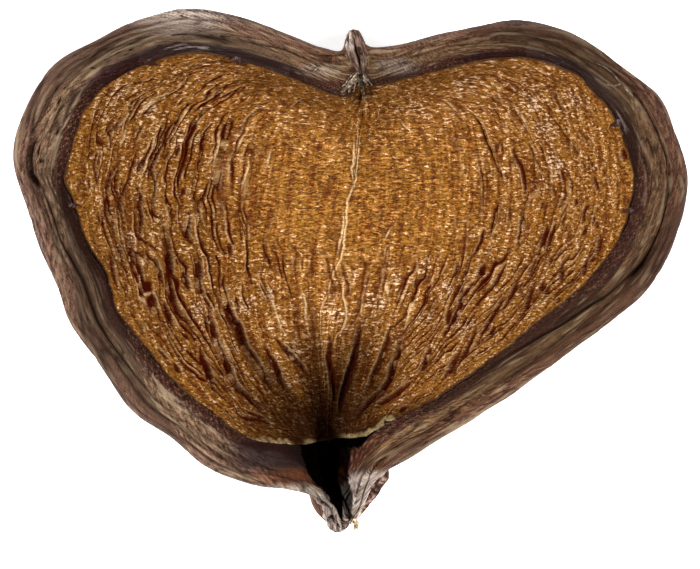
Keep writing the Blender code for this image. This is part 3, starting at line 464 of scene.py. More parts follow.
# The beak's hood: y, z, x, half width and half height of each section
HOOD = [
    (33.5, 26.9, 0.45, 0.65, 0.8),
    (32.9, 27.0, 0.45, 1.10, 1.2),
    (32.0, 26.9, 0.55, 1.45, 1.5),
    (31.0, 26.7, 0.7, 1.70, 1.6),
    (29.6, 26.0, 1.0, 2.0, 1.6),
    (28.2, 25.2, 1.3, 1.8, 1.3),
    (27.1, 24.7, 1.5, 1.2, 0.8),
]
HOOD_TIPS = [(0.35, 33.7, 26.9), (1.6, 26.6, 24.4)]
HOOD_CRACK = [(0.4, 32.3), (0.55, 31.4), (0.8, 30.0), (1.25, 28.6), (1.5, 27.2), (1.75, 25.9)]

# Lines of the stalk end: width, height (below zero for a furrow), and the way each runs
STALK_LINES = [
    (0.30, 0.35, [(-12.0, -38.8), (-8.0, -39.4), (-5.0, -40.1), (-2.7, -41.1), (-1.5, -42.5),
        (-0.9, -44.6)]),
    (0.16, 0.20, [(-9.0, -38.6), (-5.6, -39.4), (-3.0, -40.3), (-1.9, -41.4)]),
    (0.26, -0.50, [(-7.4, -40.3), (-5.6, -41.0), (-4.0, -41.8), (-3.2, -42.8), (-2.9, -43.8)]),
    (0.22, 0.30, [(-6.4, -40.8), (-4.6, -41.3), (-3.0, -42.2), (-2.3, -43.4), (-2.1, -44.8)]),
    (0.16, -0.35, [(-5.9, -41.4), (-5.4, -42.7), (-4.9, -43.7), (-4.2, -44.6)]),
    (0.14, 0.30, [(-5.5, -41.3), (-5.0, -42.6), (-4.6, -43.6), (-3.9, -44.5)]),
    (0.16, -0.35, [(-5.1, -41.5), (-4.7, -42.6), (-4.2, -43.5), (-3.7, -44.2)]),
    (0.14, 0.30, [(-4.6, -41.8), (-4.3, -42.7), (-3.9, -43.4)]),
    (0.50, -0.60, [(-4.1, -45.0), (-3.3, -44.3), (-2.4, -43.6)]),
    (0.12, 0.20, [(-3.3, -44.9), (-3.3, -46.0)]),
    (0.12, -0.25, [(-3.0, -44.7), (-2.9, -46.2)]),
    (0.12, 0.20, [(-2.6, -44.4), (-2.5, -46.6)]),
    (0.12, -0.25, [(-2.2, -44.2), (-2.1, -46.6)]),
    (0.12, 0.20, [(-1.8, -44.0), (-1.7, -46.6)]),
    (0.12, -0.25, [(-1.4, -44.0), (-1.3, -46.3)]),
    (0.12, 0.20, [(-1.0, -44.2), (-0.9, -45.8)]),
    (0.45, 0.30, [(-1.4, -40.4), (-0.9, -39.0), (0.6, -38.0), (2.6, -37.5), (5.0, -37.0), (8.0, -35.8)]),
    (0.30, 0.25, [(-1.0, -41.2), (0.1, -42.8), (0.5, -44.4)]),
    (0.12, -0.25, [(-0.6, -42.0), (0.2, -43.6), (0.6, -44.6)]),
]

# The bleached lip right of the split
GREY_LIP = [(-1.6, -41.4), (-0.9, -39.4), (1.2, -38.0), (4.6, -37.4), (6.3, -36.8)]

# The black of the split: y, x of its soft left edge and of its sharp right edge
SLOT_EDGES = [
    (-41.0, -1.5, -1.4), (-39.4, -2.8, -1.8), (-38.2, -4.6, -2.3), (-34.0, -6.0, -2.0), (-31.0, -6.2, -1.8),
]

# The crack from the black split down to the foot
FOOT_CRACK = [(-2.0, -38.2), (-2.0, -39.8), (-1.0, -41.3), (-0.3, -43.1), (0.0, -45.2)]


def main():
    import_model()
    skin = lining_skin()
    dull_wood = husk_wood("weathered husk wood", 0.75, 0.06)
    polished_wood = husk_wood("polished husk wood", 0.32, 0.22)
    woods = [dull_wood, polished_wood, slot_shade()]
    bleached = stalk_wood()
    fibre = dry_fibre("grey beak fibre", "#1f140d", "#594635", "#a39075")
    straw_fibre = dry_fibre("dry straw fibre", "#5e4a30", "#bda67e", "#efe2c6")
    made = [
        husk_piece(woods),
        lining_half("lining_left", LEFT_EDGE, -1, skin),
        lining_half("lining_right", RIGHT_EDGE, 1, skin),
        neck_piece(bleached),
        hood_piece(dull_wood),
        spur_piece(spur_skin()),
        beak_strands(fibre),
        straw(straw_fibre),
        loose_fibres(fibre),
    ]
    for piece in made:
        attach(piece, "root")
        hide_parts("pod")
    floor_and_light()
    camera()


# Curves and sections


def smooth_through(knots, values, at):
    """Cubic Hermite curve through the values at the knots, with slopes from their neighbours."""
    slopes = np.gradient(values, knots, axis=0)
    i = np.clip(np.searchsorted(knots, at, side="right") - 1, 0, len(knots) - 2)
    span = (knots[i + 1] - knots[i])[:, None]
    s = (at - knots[i])[:, None] / span
    rise = s * s * (3 - 2 * s)
    leave = s * (1 - s) ** 2 * span
    arrive = s * s * (s - 1) * span
    return values[i] * (1 - rise) + values[i + 1] * rise + slopes[i] * leave + slopes[i + 1] * arrive


def crowded_ends(even, amount):
    """Shares from 0 to 1 that stand closer together at both ends: even - amount sin(2 pi even) / (2 pi)."""
    return even - amount * np.sin(2 * np.pi * even) / (2 * np.pi)


def distances(way):
    """Distance from the start of a way to each of its points."""
    steps = np.linalg.norm(np.diff(way, axis=0), axis=1)
    return np.concatenate([[0], np.cumsum(steps)])


def smoothstep(low, high, value):
    """0 below low, 1 above high, and an S-curve between."""
    s = np.clip((value - low) / (high - low), 0, 1)
    return s * s * (3 - 2 * s)


def along_edge(edge, share):
    """Edge points and rim widths at these shares of the edge's length."""
    edge = np.array(edge)
    reach = distances(edge[:, :2])
    found = smooth_through(reach / reach[-1], edge, share)
    return found[:, :2], found[:, 2]


def sections(edge, share):
    """What every section of one side needs: midrib, lip and lining edge from above, and their heights."""
    midrib = np.array(MIDRIB)
    spine = smooth_through(midrib[:, 0], midrib[:, 1:], share)
    middle, crest, floor, keel, gap = spine[:, :2], spine[:, 2], spine[:, 3], spine[:, 4], spine[:, 5]
    lip, face_width = along_edge(edge, share)
    span = np.linalg.norm(lip - middle, axis=1)
    face_width = np.minimum(face_width, span - np.minimum(np.maximum(gap, 0.2), span * 0.5))
    roll = np.minimum(1, span / 5.0)
    inner = lip + (middle - lip) * (face_width / span)[:, None]
    side = crest - LIP_ROLL * roll
    return {
        "middle": middle, "lip": lip, "inner": inner, "crest": crest, "floor": floor, "keel": keel,
        "side": side, "roll": roll, "span": span, "face_width": face_width,
    }


def spot(x, y, middle, size, edge, heart):
    """1 in the heart of an oval spot, fading to 0 at its edge; both are shares of its size."""
    return smoothstep(edge, heart, np.hypot((x - middle[0]) / size[0], (y - middle[1]) / size[1]))


def rim_face(s, inwards):
    """Points of the rim's face, from the lip (inwards 0) to its inner edge (inwards 1)."""
    face = np.array(RIM_FACE)
    drop = smooth_through(face[:, 0], face[:, 1:], inwards)[:, 0]
    xy = s["lip"][:, None] + (s["inner"] - s["lip"])[:, None] * inwards[None, :, None]
    z = s["crest"][:, None] - drop[None, :] * s["roll"][:, None]
    return np.dstack([xy, z])


def oval_rings(row, angle, push):
    """Upright oval rings along y: the centre plus the half sizes and the push times cosine and sine."""
    x = row[:, 2, None] + (row[:, 3, None] + push) * np.cos(angle)[None, :]
    z = row[:, 1, None] + (row[:, 4, None] + push) * np.sin(angle)[None, :]
    return np.dstack([x, row[:, 0, None] + 0 * x, z])


def swept(middle, edge, low, high, out, climb):
    """Points from the middle (out 0) to the edge (out 1) that climb from low to high."""
    xy = middle[:, None] + (edge - middle)[:, None] * out[..., None]
    z = low[:, None] + (high - low)[:, None] * climb
    return np.dstack([xy, z])


def normals(grid):
    """Upward unit normals of a grid of points: the cross product of its two directions."""
    along = np.gradient(grid, axis=0)
    across = np.gradient(grid, axis=1)
    normal = np.cross(along, across)
    normal /= np.linalg.norm(normal, axis=2)[:, :, None] + 1e-9
    return normal * np.sign(normal[:, :, 2:] + 1e-9)


def lengths_along(grid, axis):
    """Distance covered from the first point of each line of the grid, in millimetres."""
    steps = np.linalg.norm(np.diff(grid, axis=axis), axis=2)
    start = np.zeros_like(np.take(steps, [0], axis=axis))
    return np.concatenate([start, np.cumsum(steps, axis=axis)], axis=axis)


def lattice_noise(x, y, seed):
    """Smooth random heights from -1 to 1 over a lattice one unit apart."""
    table = np.random.default_rng(seed).uniform(-1, 1, (256, 256))
    left = np.floor(x).astype(int)
    low = np.floor(y).astype(int)
    sx = smoothstep(0, 1, x - left)
    sy = smoothstep(0, 1, y - low)
    corners = [table[(left + i) & 255, (low + j) & 255] for i in (0, 1) for j in (0, 1)]
    bottom = corners[0] * (1 - sx) + corners[2] * sx
    top = corners[1] * (1 - sx) + corners[3] * sx
    return bottom * (1 - sy) + top * sy


def x_of_way(way, y):
    """x at each y of a way that runs down the picture."""
    return np.interp(-y, [-point[1] for point in way], [point[0] for point in way])


def seen_by_camera(points):
    """Where the camera sees each point, as x and y at the level of the rim."""
    shrink = CAMERA_HEIGHT / (CAMERA_HEIGHT + RIM_LEVEL - points[..., 2])
    x = CAMERA_X + (points[..., 0] - CAMERA_X) * shrink
    y = CAMERA_Y + (points[..., 1] - CAMERA_Y) * shrink
    return x, y


# The husk


def husk_piece(woods):
    """The woody wall, as one closed tube of sections."""
    even = np.linspace(0, 1, HUSK_SECTIONS + 2)[1:-1]
    share = crowded_ends(even, HUSK_CROWDING)
    left, left_across, left_marks = husk_side(LEFT_EDGE, share, 11)
    right, right_across, right_marks = husk_side(RIGHT_EDGE, share, 12)
    rings = np.concatenate([left, right[:, -2:0:-1]], axis=1)
    rings[:, :, 2] = np.maximum(rings[:, :, 2], 0)
    across = np.concatenate([left_across, right_across[:, ::-1]], axis=1)
    marks = {
        name: np.concatenate([left_marks[name], right_marks[name][:, -2:0:-1]], axis=1)
        for name in left_marks
    }
    along = np.repeat(share[:, None] * SPINE_LENGTH, across.shape[1], axis=1)
    ends = np.array([MIDRIB[0][1:4], MIDRIB[-1][1:4]])
    piece = tube_piece("husk", rings, ends, along, across, woods[0], marks)
    piece.data.materials.append(woods[1])
    piece.data.materials.append(woods[2])
    kind = np.where(marks["gloss"] > 0.5, 1, 0)
    # Faces painted black as shade in the split take the dull black material
    kind = np.where(marks["gloom"] > 0.8, 2, kind)
    count = len(piece.data.polygons)
    chosen = np.zeros(count, int)
    chosen[:kind[:-1].size] = kind[:-1].ravel()
    piece.data.polygons.foreach_set("material_index", chosen)
    return piece


def husk_side(edge, share, seed):
    """One side of the husk from the keel over the rim to the midrib, and millimetres across from the lip."""
    s = sections(edge, share)
    along = share[:, None] * SPINE_LENGTH

    angle = np.linspace(0, np.pi / 2, FLANK_POINTS + 1)[:-1]
    out = np.sin(angle)[None, :]
    bulge = 0.65 * out**FLANK_ROUNDNESS + 0.35 * (1 - np.sqrt(1 - out**3))
    flank = swept(s["middle"], s["lip"], s["keel"], s["side"], out, bulge)

    rim_band = np.linspace(0, 1, RIM_POINTS)
    rim = rim_face(s, rim_band)

    inwards = np.linspace(1, 0, UNDER_LINING_POINTS + 1)[None, 1:]
    bowl = swept(s["middle"], s["inner"], s["floor"], s["side"], inwards, inwards**BOWL_ROUNDNESS)
    depth = LINING_CLEARANCE * smoothstep(1.0, 0.86, inwards) * smoothstep(0.09, 0.14, share)[:, None]
    depth = depth * smoothstep(0.985, 0.93, share)[:, None]
    bowl = bowl - normals(bowl) * depth[:, :, None]
    side = np.concatenate([flank, rim, bowl], axis=1)

    across = lengths_along(side, 1)
    across = across - across[:, FLANK_POINTS:FLANK_POINTS + 1]
    flank_band = -np.linspace(1, 0, FLANK_POINTS, endpoint=False)
    bowl_band = 1 + (1 - inwards[0])
    band = np.concatenate([flank_band, rim_band, bowl_band])[None, :] * np.ones_like(along)
    marks = rim_marks(side, band, across, along, seed)

    # Ribs 1.1 mm and 0.45 mm wide and lumps of 4 mm by 7 mm, lower where the husk is narrow
    room = np.minimum(1, s["span"] / 12.0)[:, None]
    ribs = 0.15 * lattice_noise(across / 1.1, along / 16.0, seed)
    ribs += 0.10 * lattice_noise(across / 0.45, along / 9.0, seed + 20)
    lumps = 0.30 * lattice_noise(across / 4.0, along / 7.0, seed + 40)
    on_wood = np.ones(side.shape[1])
    on_wood[:6] = np.linspace(0, 1, 6)
    on_wood[-UNDER_LINING_POINTS:] = np.linspace(0.6, 0, UNDER_LINING_POINTS)
    relief = (ribs + lumps) * room * on_wood[None, :] + marks.pop("relief")
    side = side + outward_normals(side) * relief[:, :, None]

    marks["gloom"] = painted_split_shade(side, s["crest"], band, along)
    return side, across, marks


def painted_split_shade(side, crest, band, along):
    """1 where the split, the wood under the torn lining and the crack from the split are painted black as
    shade. The split's left side fades in, its right edge is sharp.
    """
    x, y = seen_by_camera(side)
    rims = np.array(SLOT_EDGES)
    left = np.interp(y, rims[:, 0], rims[:, 1])
    right = np.interp(y, rims[:, 0], rims[:, 2])
    share = along / SPINE_LENGTH
    deep = np.maximum(smoothstep(0.8, 4.0, crest[:, None] - side[:, :, 2]), smoothstep(0.66, 0.74, band))
    deep = deep * smoothstep(0.13, 0.11, share)
    split = smoothstep(left - 7.0, left + 0.3, x) * smoothstep(right + 0.5, right - 0.1, x)
    split = split * deep * (band > 0.5)
    under = smoothstep(-33.8, -32.6, y) * smoothstep(0.12, 0.10, share) * (band > 1.01)
    crack, _ = groove(x, y, FOOT_CRACK, 0.26, 1)
    return np.clip(np.maximum(np.maximum(split, under), crack * (band > -0.2)), 0, 1)


def rim_marks(side, band, across, along, seed):
    """Lines, pits and tones of the husk, each from 0 to 1, and the relief that the lines and pits give it.
    The dark of the furrows and pits is painted shade.
    """
    x, y = seen_by_camera(side)
    furrow, crest, relief = rim_lines(x, y, band, across, along, seed)
    olive_band = smoothstep(0.40, 0.48, band) * smoothstep(0.80, 0.74, band)
    rough = lattice_noise(across / 0.55, along / 1.3, seed + 100)
    left_upper = smoothstep(-42, -46, x) * smoothstep(3, 9, y)
    left_upper = left_upper + smoothstep(24, 28, y) * smoothstep(-14, -22, x)
    pit = smoothstep(0.50, 0.68, rough) * olive_band * np.clip(left_upper, 0.25, 1)
    # Painted shade: the rim is darkened on its right and on its left side
    shade = smoothstep(14, 26, x) * smoothstep(-12, -4, y)
    left_shade = smoothstep(-20, -30, x) * smoothstep(18, 10, y) * smoothstep(-24, -12, y)
    shade = np.maximum(shade, 0.7 * left_shade)
    gloss = smoothstep(0.66, 0.72, band) * smoothstep(1.2, 1.1, band) * (y > 20)
    glossy_runs = smoothstep(-36, -32, x) * smoothstep(-8, -12, x) + smoothstep(26, 30, x)
    gloss = gloss * np.clip(glossy_runs, 0, 1)
    return {
        "band": band, "furrow": furrow, "crest": crest, "pit": pit, "shade": shade, "gloss": gloss,
        **rim_tones(x, y, band, across, along, seed), "relief": relief - 0.35 * pit,
    }


def rim_lines(x, y, band, across, along, seed):
    """Furrows darkened with painted shade, bright crests and the relief of both.

    Furrows are the zero lines of a noise that is long along the rim, so they fork and end as fibres do. The
    longest lines follow the traced ways.
    """
    on_rim = smoothstep(-0.05, 0.05, band) * smoothstep(1.03, 0.97, band)
    fibre = np.abs(lattice_noise(across / 0.75, along / 8.0, seed + 60))
    furrow = smoothstep(0.16, 0.0, fibre) * 0.8
    fine = np.abs(lattice_noise(across / 0.40, along / 3.0, seed + 80))
    furrow = np.maximum(furrow, smoothstep(0.12, 0.0, fine) * 0.45)
    furrow = furrow * (1 - 0.85 * smoothstep(0.80, 0.88, band))
    relief = -0.14 * furrow
    crest = smoothstep(0.30, 0.75, lattice_noise(across / 0.38, along / 3.5, seed + 90)) * 0.7
    crest = crest * (1 - smoothstep(0.80, 0.86, band))
    for width, depth, dark, way in RIM_FURROWS:
        cut, _ = groove(x, y, way, width, 1)
        cut = cut * on_rim * np.maximum(smoothstep(-37.5, -36.0, y), x < -1.5)
        relief = relief - depth * cut
        furrow = np.maximum(furrow, dark * cut)
        crest = crest * (1 - cut)
    for width, rise, way in RIM_CRESTS:
        ridge, _ = groove(x, y, way, width, 1)
        ridge = ridge * on_rim
        relief = relief + rise * ridge
        crest = np.maximum(crest, ridge)
    for width, rise, way in STALK_LINES:
        line, _ = groove(x, y, way, width, 1)
        line = line * smoothstep(-0.75, -0.55, band) * smoothstep(-36, -37, y)
        relief = relief + rise * line
        if rise > 0:
            crest = np.maximum(crest, line)
        else:
            furrow = np.maximum(furrow, line)
            crest = crest * (1 - line)
    return furrow, crest, relief


def rim_tones(x, y, band, across, along, seed):
    """Where the husk is bleached, maroon or rust-coloured, each from 0 to 1. The bleached mark also holds
    painted glints, and the maroon at the top is partly painted shade.
    """
    knob = spot(x, y, (-2.0, -45.5), (1.9, 1.5), 1.3, 0.6)
    bleached = smoothstep(-38, -39.6, y) * smoothstep(0.75, 0.35, band) * smoothstep(14, 5, np.abs(x + 2))
    bleached += 1.3 * smoothstep(-39.6, -41.2, y) * (1 - 0.75 * knob)
    bleached += 0.08 * smoothstep(-5, -15, x) * smoothstep(0.85, 0.75, band)
    upper_left = spot(x, y, (-27, 35.5), (9, 4), 1.2, 0.2) * smoothstep(0.66, 0.56, band)
    bleached += 0.7 * upper_left * smoothstep(-0.35, 0.0, band)
    bleached += 0.35 * spot(x, y, (7.2, 27.6), (3.6, 1.4), 1.3, 0.4)
    bleached += 0.30 * spot(x, y, (-5.0, 27.0), (3.4, 1.2), 1.3, 0.5)
    maroon = smoothstep(-36.9, -35.6, y) * smoothstep(-31.0, -32.4, y) * smoothstep(-22, -16, x) * (x < 0)
    # At the top the inner face is painted maroon, partly the wood's colour and partly painted shade as it
    # faces away from the light
    maroon += smoothstep(0.70, 0.80, band) * smoothstep(20, 26, y) * smoothstep(-4, -12, x)
    maroon += smoothstep(0.78, 0.86, band) * smoothstep(20, 27, y) * smoothstep(14, 20, x)
    left_rust = smoothstep(-39.2, -38.2, y) * smoothstep(-35.4, -36.6, y) * smoothstep(-18, -12, x)
    right_rust = smoothstep(-37.6, -36.6, y) * smoothstep(-29, -33, y) * smoothstep(14, 4, x)
    rust = 0.8 * knob + left_rust * (x < -1) + 0.2 * right_rust * (x > -2.2)
    streaks = smoothstep(0.25, 0.5, lattice_noise(across / 0.4, along / 1.8, seed + 110))
    streaks = streaks * smoothstep(0.78, 0.84, band)
    # Painted glints: white streaks put into the bleached mark where the glossy rim and a spur catch the light
    painted_glints = spot(x, y, (-25.5, 31.8), (6.5, 2.2), 1.2, 0.6)
    painted_glints = np.maximum(painted_glints, spot(x, y, (-7.5, 28.0), (3.0, 1.6), 1.2, 0.6))
    painted_glints = np.maximum(painted_glints, 0.7 * spot(x, y, (41.8, 18.8), (2.5, 2.5), 1.2, 0.6))
    bleached += 1.6 * streaks * painted_glints
    grey_lip, _ = groove(x, y, GREY_LIP, 0.9, 1)
    bleached += 2.5 * grey_lip * smoothstep(-1.0, -0.8, band)
    return {"bleached": np.clip(bleached, 0, 1), "maroon": np.clip(maroon, 0, 1), "rust": np.clip(rust, 0, 1)}


def outward_normals(side):
    """Unit normals of a side's surface, pointing out of the wood on flank, rim and bowl alike."""
    along = np.gradient(side, axis=0)
    across = np.gradient(side, axis=1)
    normal = np.cross(across, along)
    normal /= np.linalg.norm(normal, axis=2)[:, :, None] + 1e-9
    up = np.sign(np.median(normal[:, FLANK_POINTS + 10, 2]))
    return normal * up


# The lining


def lining_half(name, edge, hand, material):
    """Half of the papery lining, from the midrib to the rim: a folded sheet with a thin edge.

    hand is -1 on the left of the midrib and 1 on its right.
    """
    even = np.linspace(0, 1, LINING_SECTIONS)
    share = LINING_START + (LINING_END - LINING_START) * crowded_ends(even, LINING_CROWDING)
    reach = np.linspace(0, 1, LINING_POINTS)
    top = lining_surface(edge, share, reach)
    along = lengths_along(top, 0)
    across = lengths_along(top, 1) * hand
    height, marks = fold_relief(top, share, along, across)
    up = normals(top)
    skin = top + up * height[:, :, None]
    keep = np.round(np.linspace(LINING_POINTS - 1, 0, LINING_BACK_POINTS)).astype(int)
    back = skin[:, keep] - up[:, keep] * LINING_THICKNESS
    rings = np.concatenate([skin, back], axis=1)
    ends = np.array([rings[0].mean(axis=0), rings[-1].mean(axis=0)])
    along = np.concatenate([along, along[:, keep], along[:, :1]], axis=1)
    across = np.concatenate([across, across[:, keep], across[:, :1]], axis=1)
    marks = {mark: np.concatenate([value, value[:, keep]], axis=1) for mark, value in marks.items()}
    return tube_piece(name, rings, ends, along, across, material, marks)


def lining_surface(edge, share, reach):
    """The smooth bowl under the folds. Near the stalk each section stops short, at the torn edge."""
    s = sections(edge, share)
    torn = np.array(TORN_EDGE)
    short = np.ones(len(share))
    for _ in range(4):
        end_x = s["middle"][:, 0] + (s["inner"][:, 0] - s["middle"][:, 0]) * short
        limit = np.interp(end_x, torn[:, 0], torn[:, 1])
        room = (s["middle"][:, 1] - limit) / np.maximum(s["middle"][:, 1] - s["inner"][:, 1], 1e-6)
        short = np.where(s["inner"][:, 1] < limit, np.clip(room, 0.02, 1), 1)
    wave = 0.35 * lattice_noise(share * SPINE_LENGTH / 4.0, np.zeros_like(share) + edge[8][0], 51)
    wave += 0.18 * lattice_noise(share * SPINE_LENGTH / 1.1, np.zeros_like(share) + edge[8][0], 52)
    out = reach[None, :] * (short + np.minimum(wave, 0.25) / np.maximum(s["span"], 5))[:, None]
    return swept(s["middle"], s["inner"], s["floor"], s["side"], out, out**BOWL_ROUNDNESS)


def fold_relief(top, share, along, across):
    """Height of every point of the lining over the smooth bowl, and its marks, each from 0 to 1.

    Small creases run side by side from stalk to beak, each at its own share of the way to the rim. They fade
    in the calm middle and on the strip at the rim.
    """
    x, y = seen_by_camera(top)
    from_rim = (across[:, -1:] - across) * np.sign(across[:, -1:])
    strip = smoothstep(4.2, 1.6, from_rim + 1.1 * lattice_noise(along / 5.0, across / 5.0, 61))
    up_stretch = np.where(y > 8, 1.7, 0.75)
    busy = smoothstep(9, 27, np.hypot(x, (y - 8) / up_stretch)) * (1 - strip)
    sway = 2.0 * lattice_noise(along / 9.0, across / 6.0, 35)
    sway += 0.45 * lattice_noise(along / 2.2, across / 3.0, 36)
    creased = busy * (1 - 0.6 * smoothstep(0, 12, x) * smoothstep(-8, 2, y))
    creased = creased * (1 - 0.75 * smoothstep(17, 8, np.abs(x + 3)) * smoothstep(-3, -11, y))
    stretch = 0.25 + 0.75 * LANES_WIDTH / np.maximum(np.abs(across[:, -1:]), 6.0)
    lanes = across * stretch + sway
    height = 0.07 * lattice_noise(across / 0.7, along / 0.9, 32)
    crack = np.zeros_like(height)
    crest = np.zeros_like(height)
    hollow = np.zeros_like(height)
    for spacing, width, run, depth, dark, seed in CREASES:
        cut, pillow, lip = creases(lanes, along, spacing, width, run, seed)
        height += depth * creased * (0.45 * pillow - cut)
        crack = np.maximum(crack, np.clip(1.9 * dark * cut * creased, 0, 1))
        hollow = np.maximum(hollow, 0.6 * dark * (1 - pillow) ** 4 * creased)
        crest = np.maximum(crest, 0.75 * lip * creased)
    for width, depth, strength, way in HOLLOWS:
        cut, _ = groove(x, y, way, width, 1)
        height -= depth * cut
        hollow = np.maximum(hollow, strength * cut)
    for width, depth, dark, side, way in CRACKS:
        cut, lip = groove(x, y, wavy(way, 0.03), 1.1 * width, side)
        height += 0.4 * depth * lip - depth * cut
        crack = np.maximum(crack, dark * np.clip(cut * 2.0, 0, 1))
        shoulder, _ = groove(x, y, way, width * 2.4, side)
        hollow = np.maximum(hollow, 0.75 * dark * shoulder)
        crest = np.maximum(crest, 0.9 * lip) * (1 - 0.8 * np.clip(cut * 2.0, 0, 1))
    for width, rise, way in CRESTS:
        ridge, beside = groove(x, y, wavy(way, 0.06), 1.2 * width, 1)
        height += rise * ridge - 0.4 * rise * beside
        crest = np.maximum(crest, ridge)
        hollow = np.maximum(hollow, 0.5 * beside)
    edge_room = smoothstep(0.0, 0.8, from_rim)
    # The dark of the cracks, creases, hollows and stain is partly painted shade, and the crest mark is a
    # painted highlight
    marks = {
        "crack": crack * edge_room, "hollow": hollow * edge_room, "crest": crest * edge_room * (1 - crack),
        "stain": stalk_stain_and_shade(x, y), "torn": torn_edge(share, top),
        "lip": smoothstep(0.5, 0.12, from_rim), "sheen": sheen(x, y) * (1 - strip),
        "busy": np.maximum(busy, np.maximum(0.8 * smoothstep(11, 20, y), 0.6 * strip)),
    }
    return 0.22 + height * edge_room, marks


def creases(place, along, spacing, width, run, seed):
    """Side by side creases: the cut, the rounded pillow between two cuts and the bright lip, each 0 to 1.

    The distance to the nearest line is d. The cut is exp(-(d / width)^2), the pillow is the squared sine of
    pi times d over the spacing, and each line is broken by a noise of its own into runs.
    """
    lane = np.round(place / spacing)
    aside = place - lane * spacing
    open_run = smoothstep(-0.15, 0.20, lattice_noise(lane * 7.3, along / run, seed))
    narrow = width * (0.75 + 0.45 * lattice_noise(lane * 3.1, along / (0.4 * run), seed + 1))
    cut = np.exp(-((aside / narrow) ** 2)) * open_run
    pillow = np.sin(np.pi * np.abs(aside) / spacing) ** 2
    pillow = 1 - (1 - pillow) * (0.35 + 0.65 * open_run)
    lip_run = smoothstep(-0.1, 0.3, lattice_noise(lane * 5.7, along / (0.5 * run), seed + 2)) * open_run
    side = np.where(place > 0, 1.0, -1.0)
    lip = np.exp(-(((aside * side - 1.9 * width) / (0.7 * width)) ** 2)) * lip_run
    return cut, pillow, lip


def sheen(x, y):
    """1 in the middle of each glittering patch of painted glints, fading to 0 at its ragged edge."""
    ragged = 1 + 0.35 * lattice_noise(x / 1.2, y / 1.2, 38)
    best = np.zeros_like(x)
    for spot_x, spot_y, radius in SHEEN:
        best = np.maximum(best, smoothstep(1.25, 0.2, np.hypot(x - spot_x, y - spot_y) / radius * ragged))
    return best


def wavy(way, amount):
    """A traced way with extra points between, each a little off the straight line."""
    way = np.array(way, float)
    reach = distances(way)
    fine = np.arange(0, reach[-1], 0.45)
    fine = np.append(fine, reach[-1])
    points = smooth_through(reach, way, fine)
    shift = np.random.default_rng(int(abs(way[0, 0] * 100)) + 7).normal(0, amount, points.shape)
    return points + shift


def groove(x, y, way, width, side):
    """A groove along a polyline: a bell-shaped cut across it, and a raised lip beside it, both 0 to 1."""
    way = np.array(way, float)
    margin = width * 5
    near = (x > way[:, 0].min() - margin) & (x < way[:, 0].max() + margin)
    near &= (y > way[:, 1].min() - margin) & (y < way[:, 1].max() + margin)
    px, py = x[near], y[near]
    best = np.full(px.shape, 1e9)
    offset = np.zeros(px.shape)
    place = np.zeros(px.shape)
    steps = np.linalg.norm(np.diff(way, axis=0), axis=1)
    reach = np.concatenate([[0], np.cumsum(steps)])
    for k in range(len(way) - 1):
        ahead = (way[k + 1] - way[k]) / steps[k]
        s = np.clip((px - way[k, 0]) * ahead[0] + (py - way[k, 1]) * ahead[1], 0, steps[k])
        dx = px - way[k, 0] - ahead[0] * s
        dy = py - way[k, 1] - ahead[1] * s
        far = np.hypot(dx, dy)
        closer = far < best
        best = np.where(closer, far, best)
        offset = np.where(closer, np.sign(dx * ahead[1] - dy * ahead[0]) * far, offset)
        place = np.where(closer, reach[k] + s, place)
    taper = np.clip(np.minimum(place, reach[-1] - place) / (0.35 * reach[-1]), 0, 1)
    bell = np.exp(-((best / (width * (0.40 + 0.60 * taper))) ** 2)) * taper**0.6
    raised = np.exp(-(((offset * side - 1.5 * width) / (0.5 * width)) ** 2)) * taper
    cut = np.zeros_like(x)
    lip = np.zeros_like(x)
    cut[near] = bell
    lip[near] = raised
    return cut, lip


def stalk_stain_and_shade(x, y):
    """1 in the dark that fans out from the split in tongues, partly a stain and partly painted shade of the
    deep fold, and in a painted shadow under the beak.
    """
    angle = np.arctan2(x + 3.6, y + 33.0)
    tongues = 1 + 0.30 * lattice_noise(angle * 6.0, np.zeros_like(angle), 71)
    distance = np.hypot((x + 3.6) / 1.25, (y + 31.5) / 1.35) / tongues
    shadow_under_beak = spot(x, y, (1.5, 24.0), (3.0, 1.9), 1.3, 0.5)
    return np.maximum(smoothstep(17.5, 3.5, distance), 0.7 * shadow_under_beak)


def torn_edge(share, top):
    """1 on the last millimetre of the lining at its torn end near the stalk, with a ragged start."""
    torn = np.array(TORN_EDGE)
    limit = np.interp(top[:, :, 0], torn[:, 0], torn[:, 1])
    distance = top[:, :, 1] - limit
    ragged = 0.35 * lattice_noise(top[:, :, 0] / 0.5, top[:, :, 1] / 2.0, 72)
    faint = 0.15 + 0.85 * smoothstep(1.6, 4.0, np.abs(top[:, :, 0] + 3.6))
    faint = faint * smoothstep(-0.7, 0.1, lattice_noise(top[:, :, 0] / 1.7, np.zeros_like(ragged), 73))
    return smoothstep(0.75, 0.30, distance + ragged) * smoothstep(0.2, 0.1, share)[:, None] * faint


# Stalk, spurs and fibres


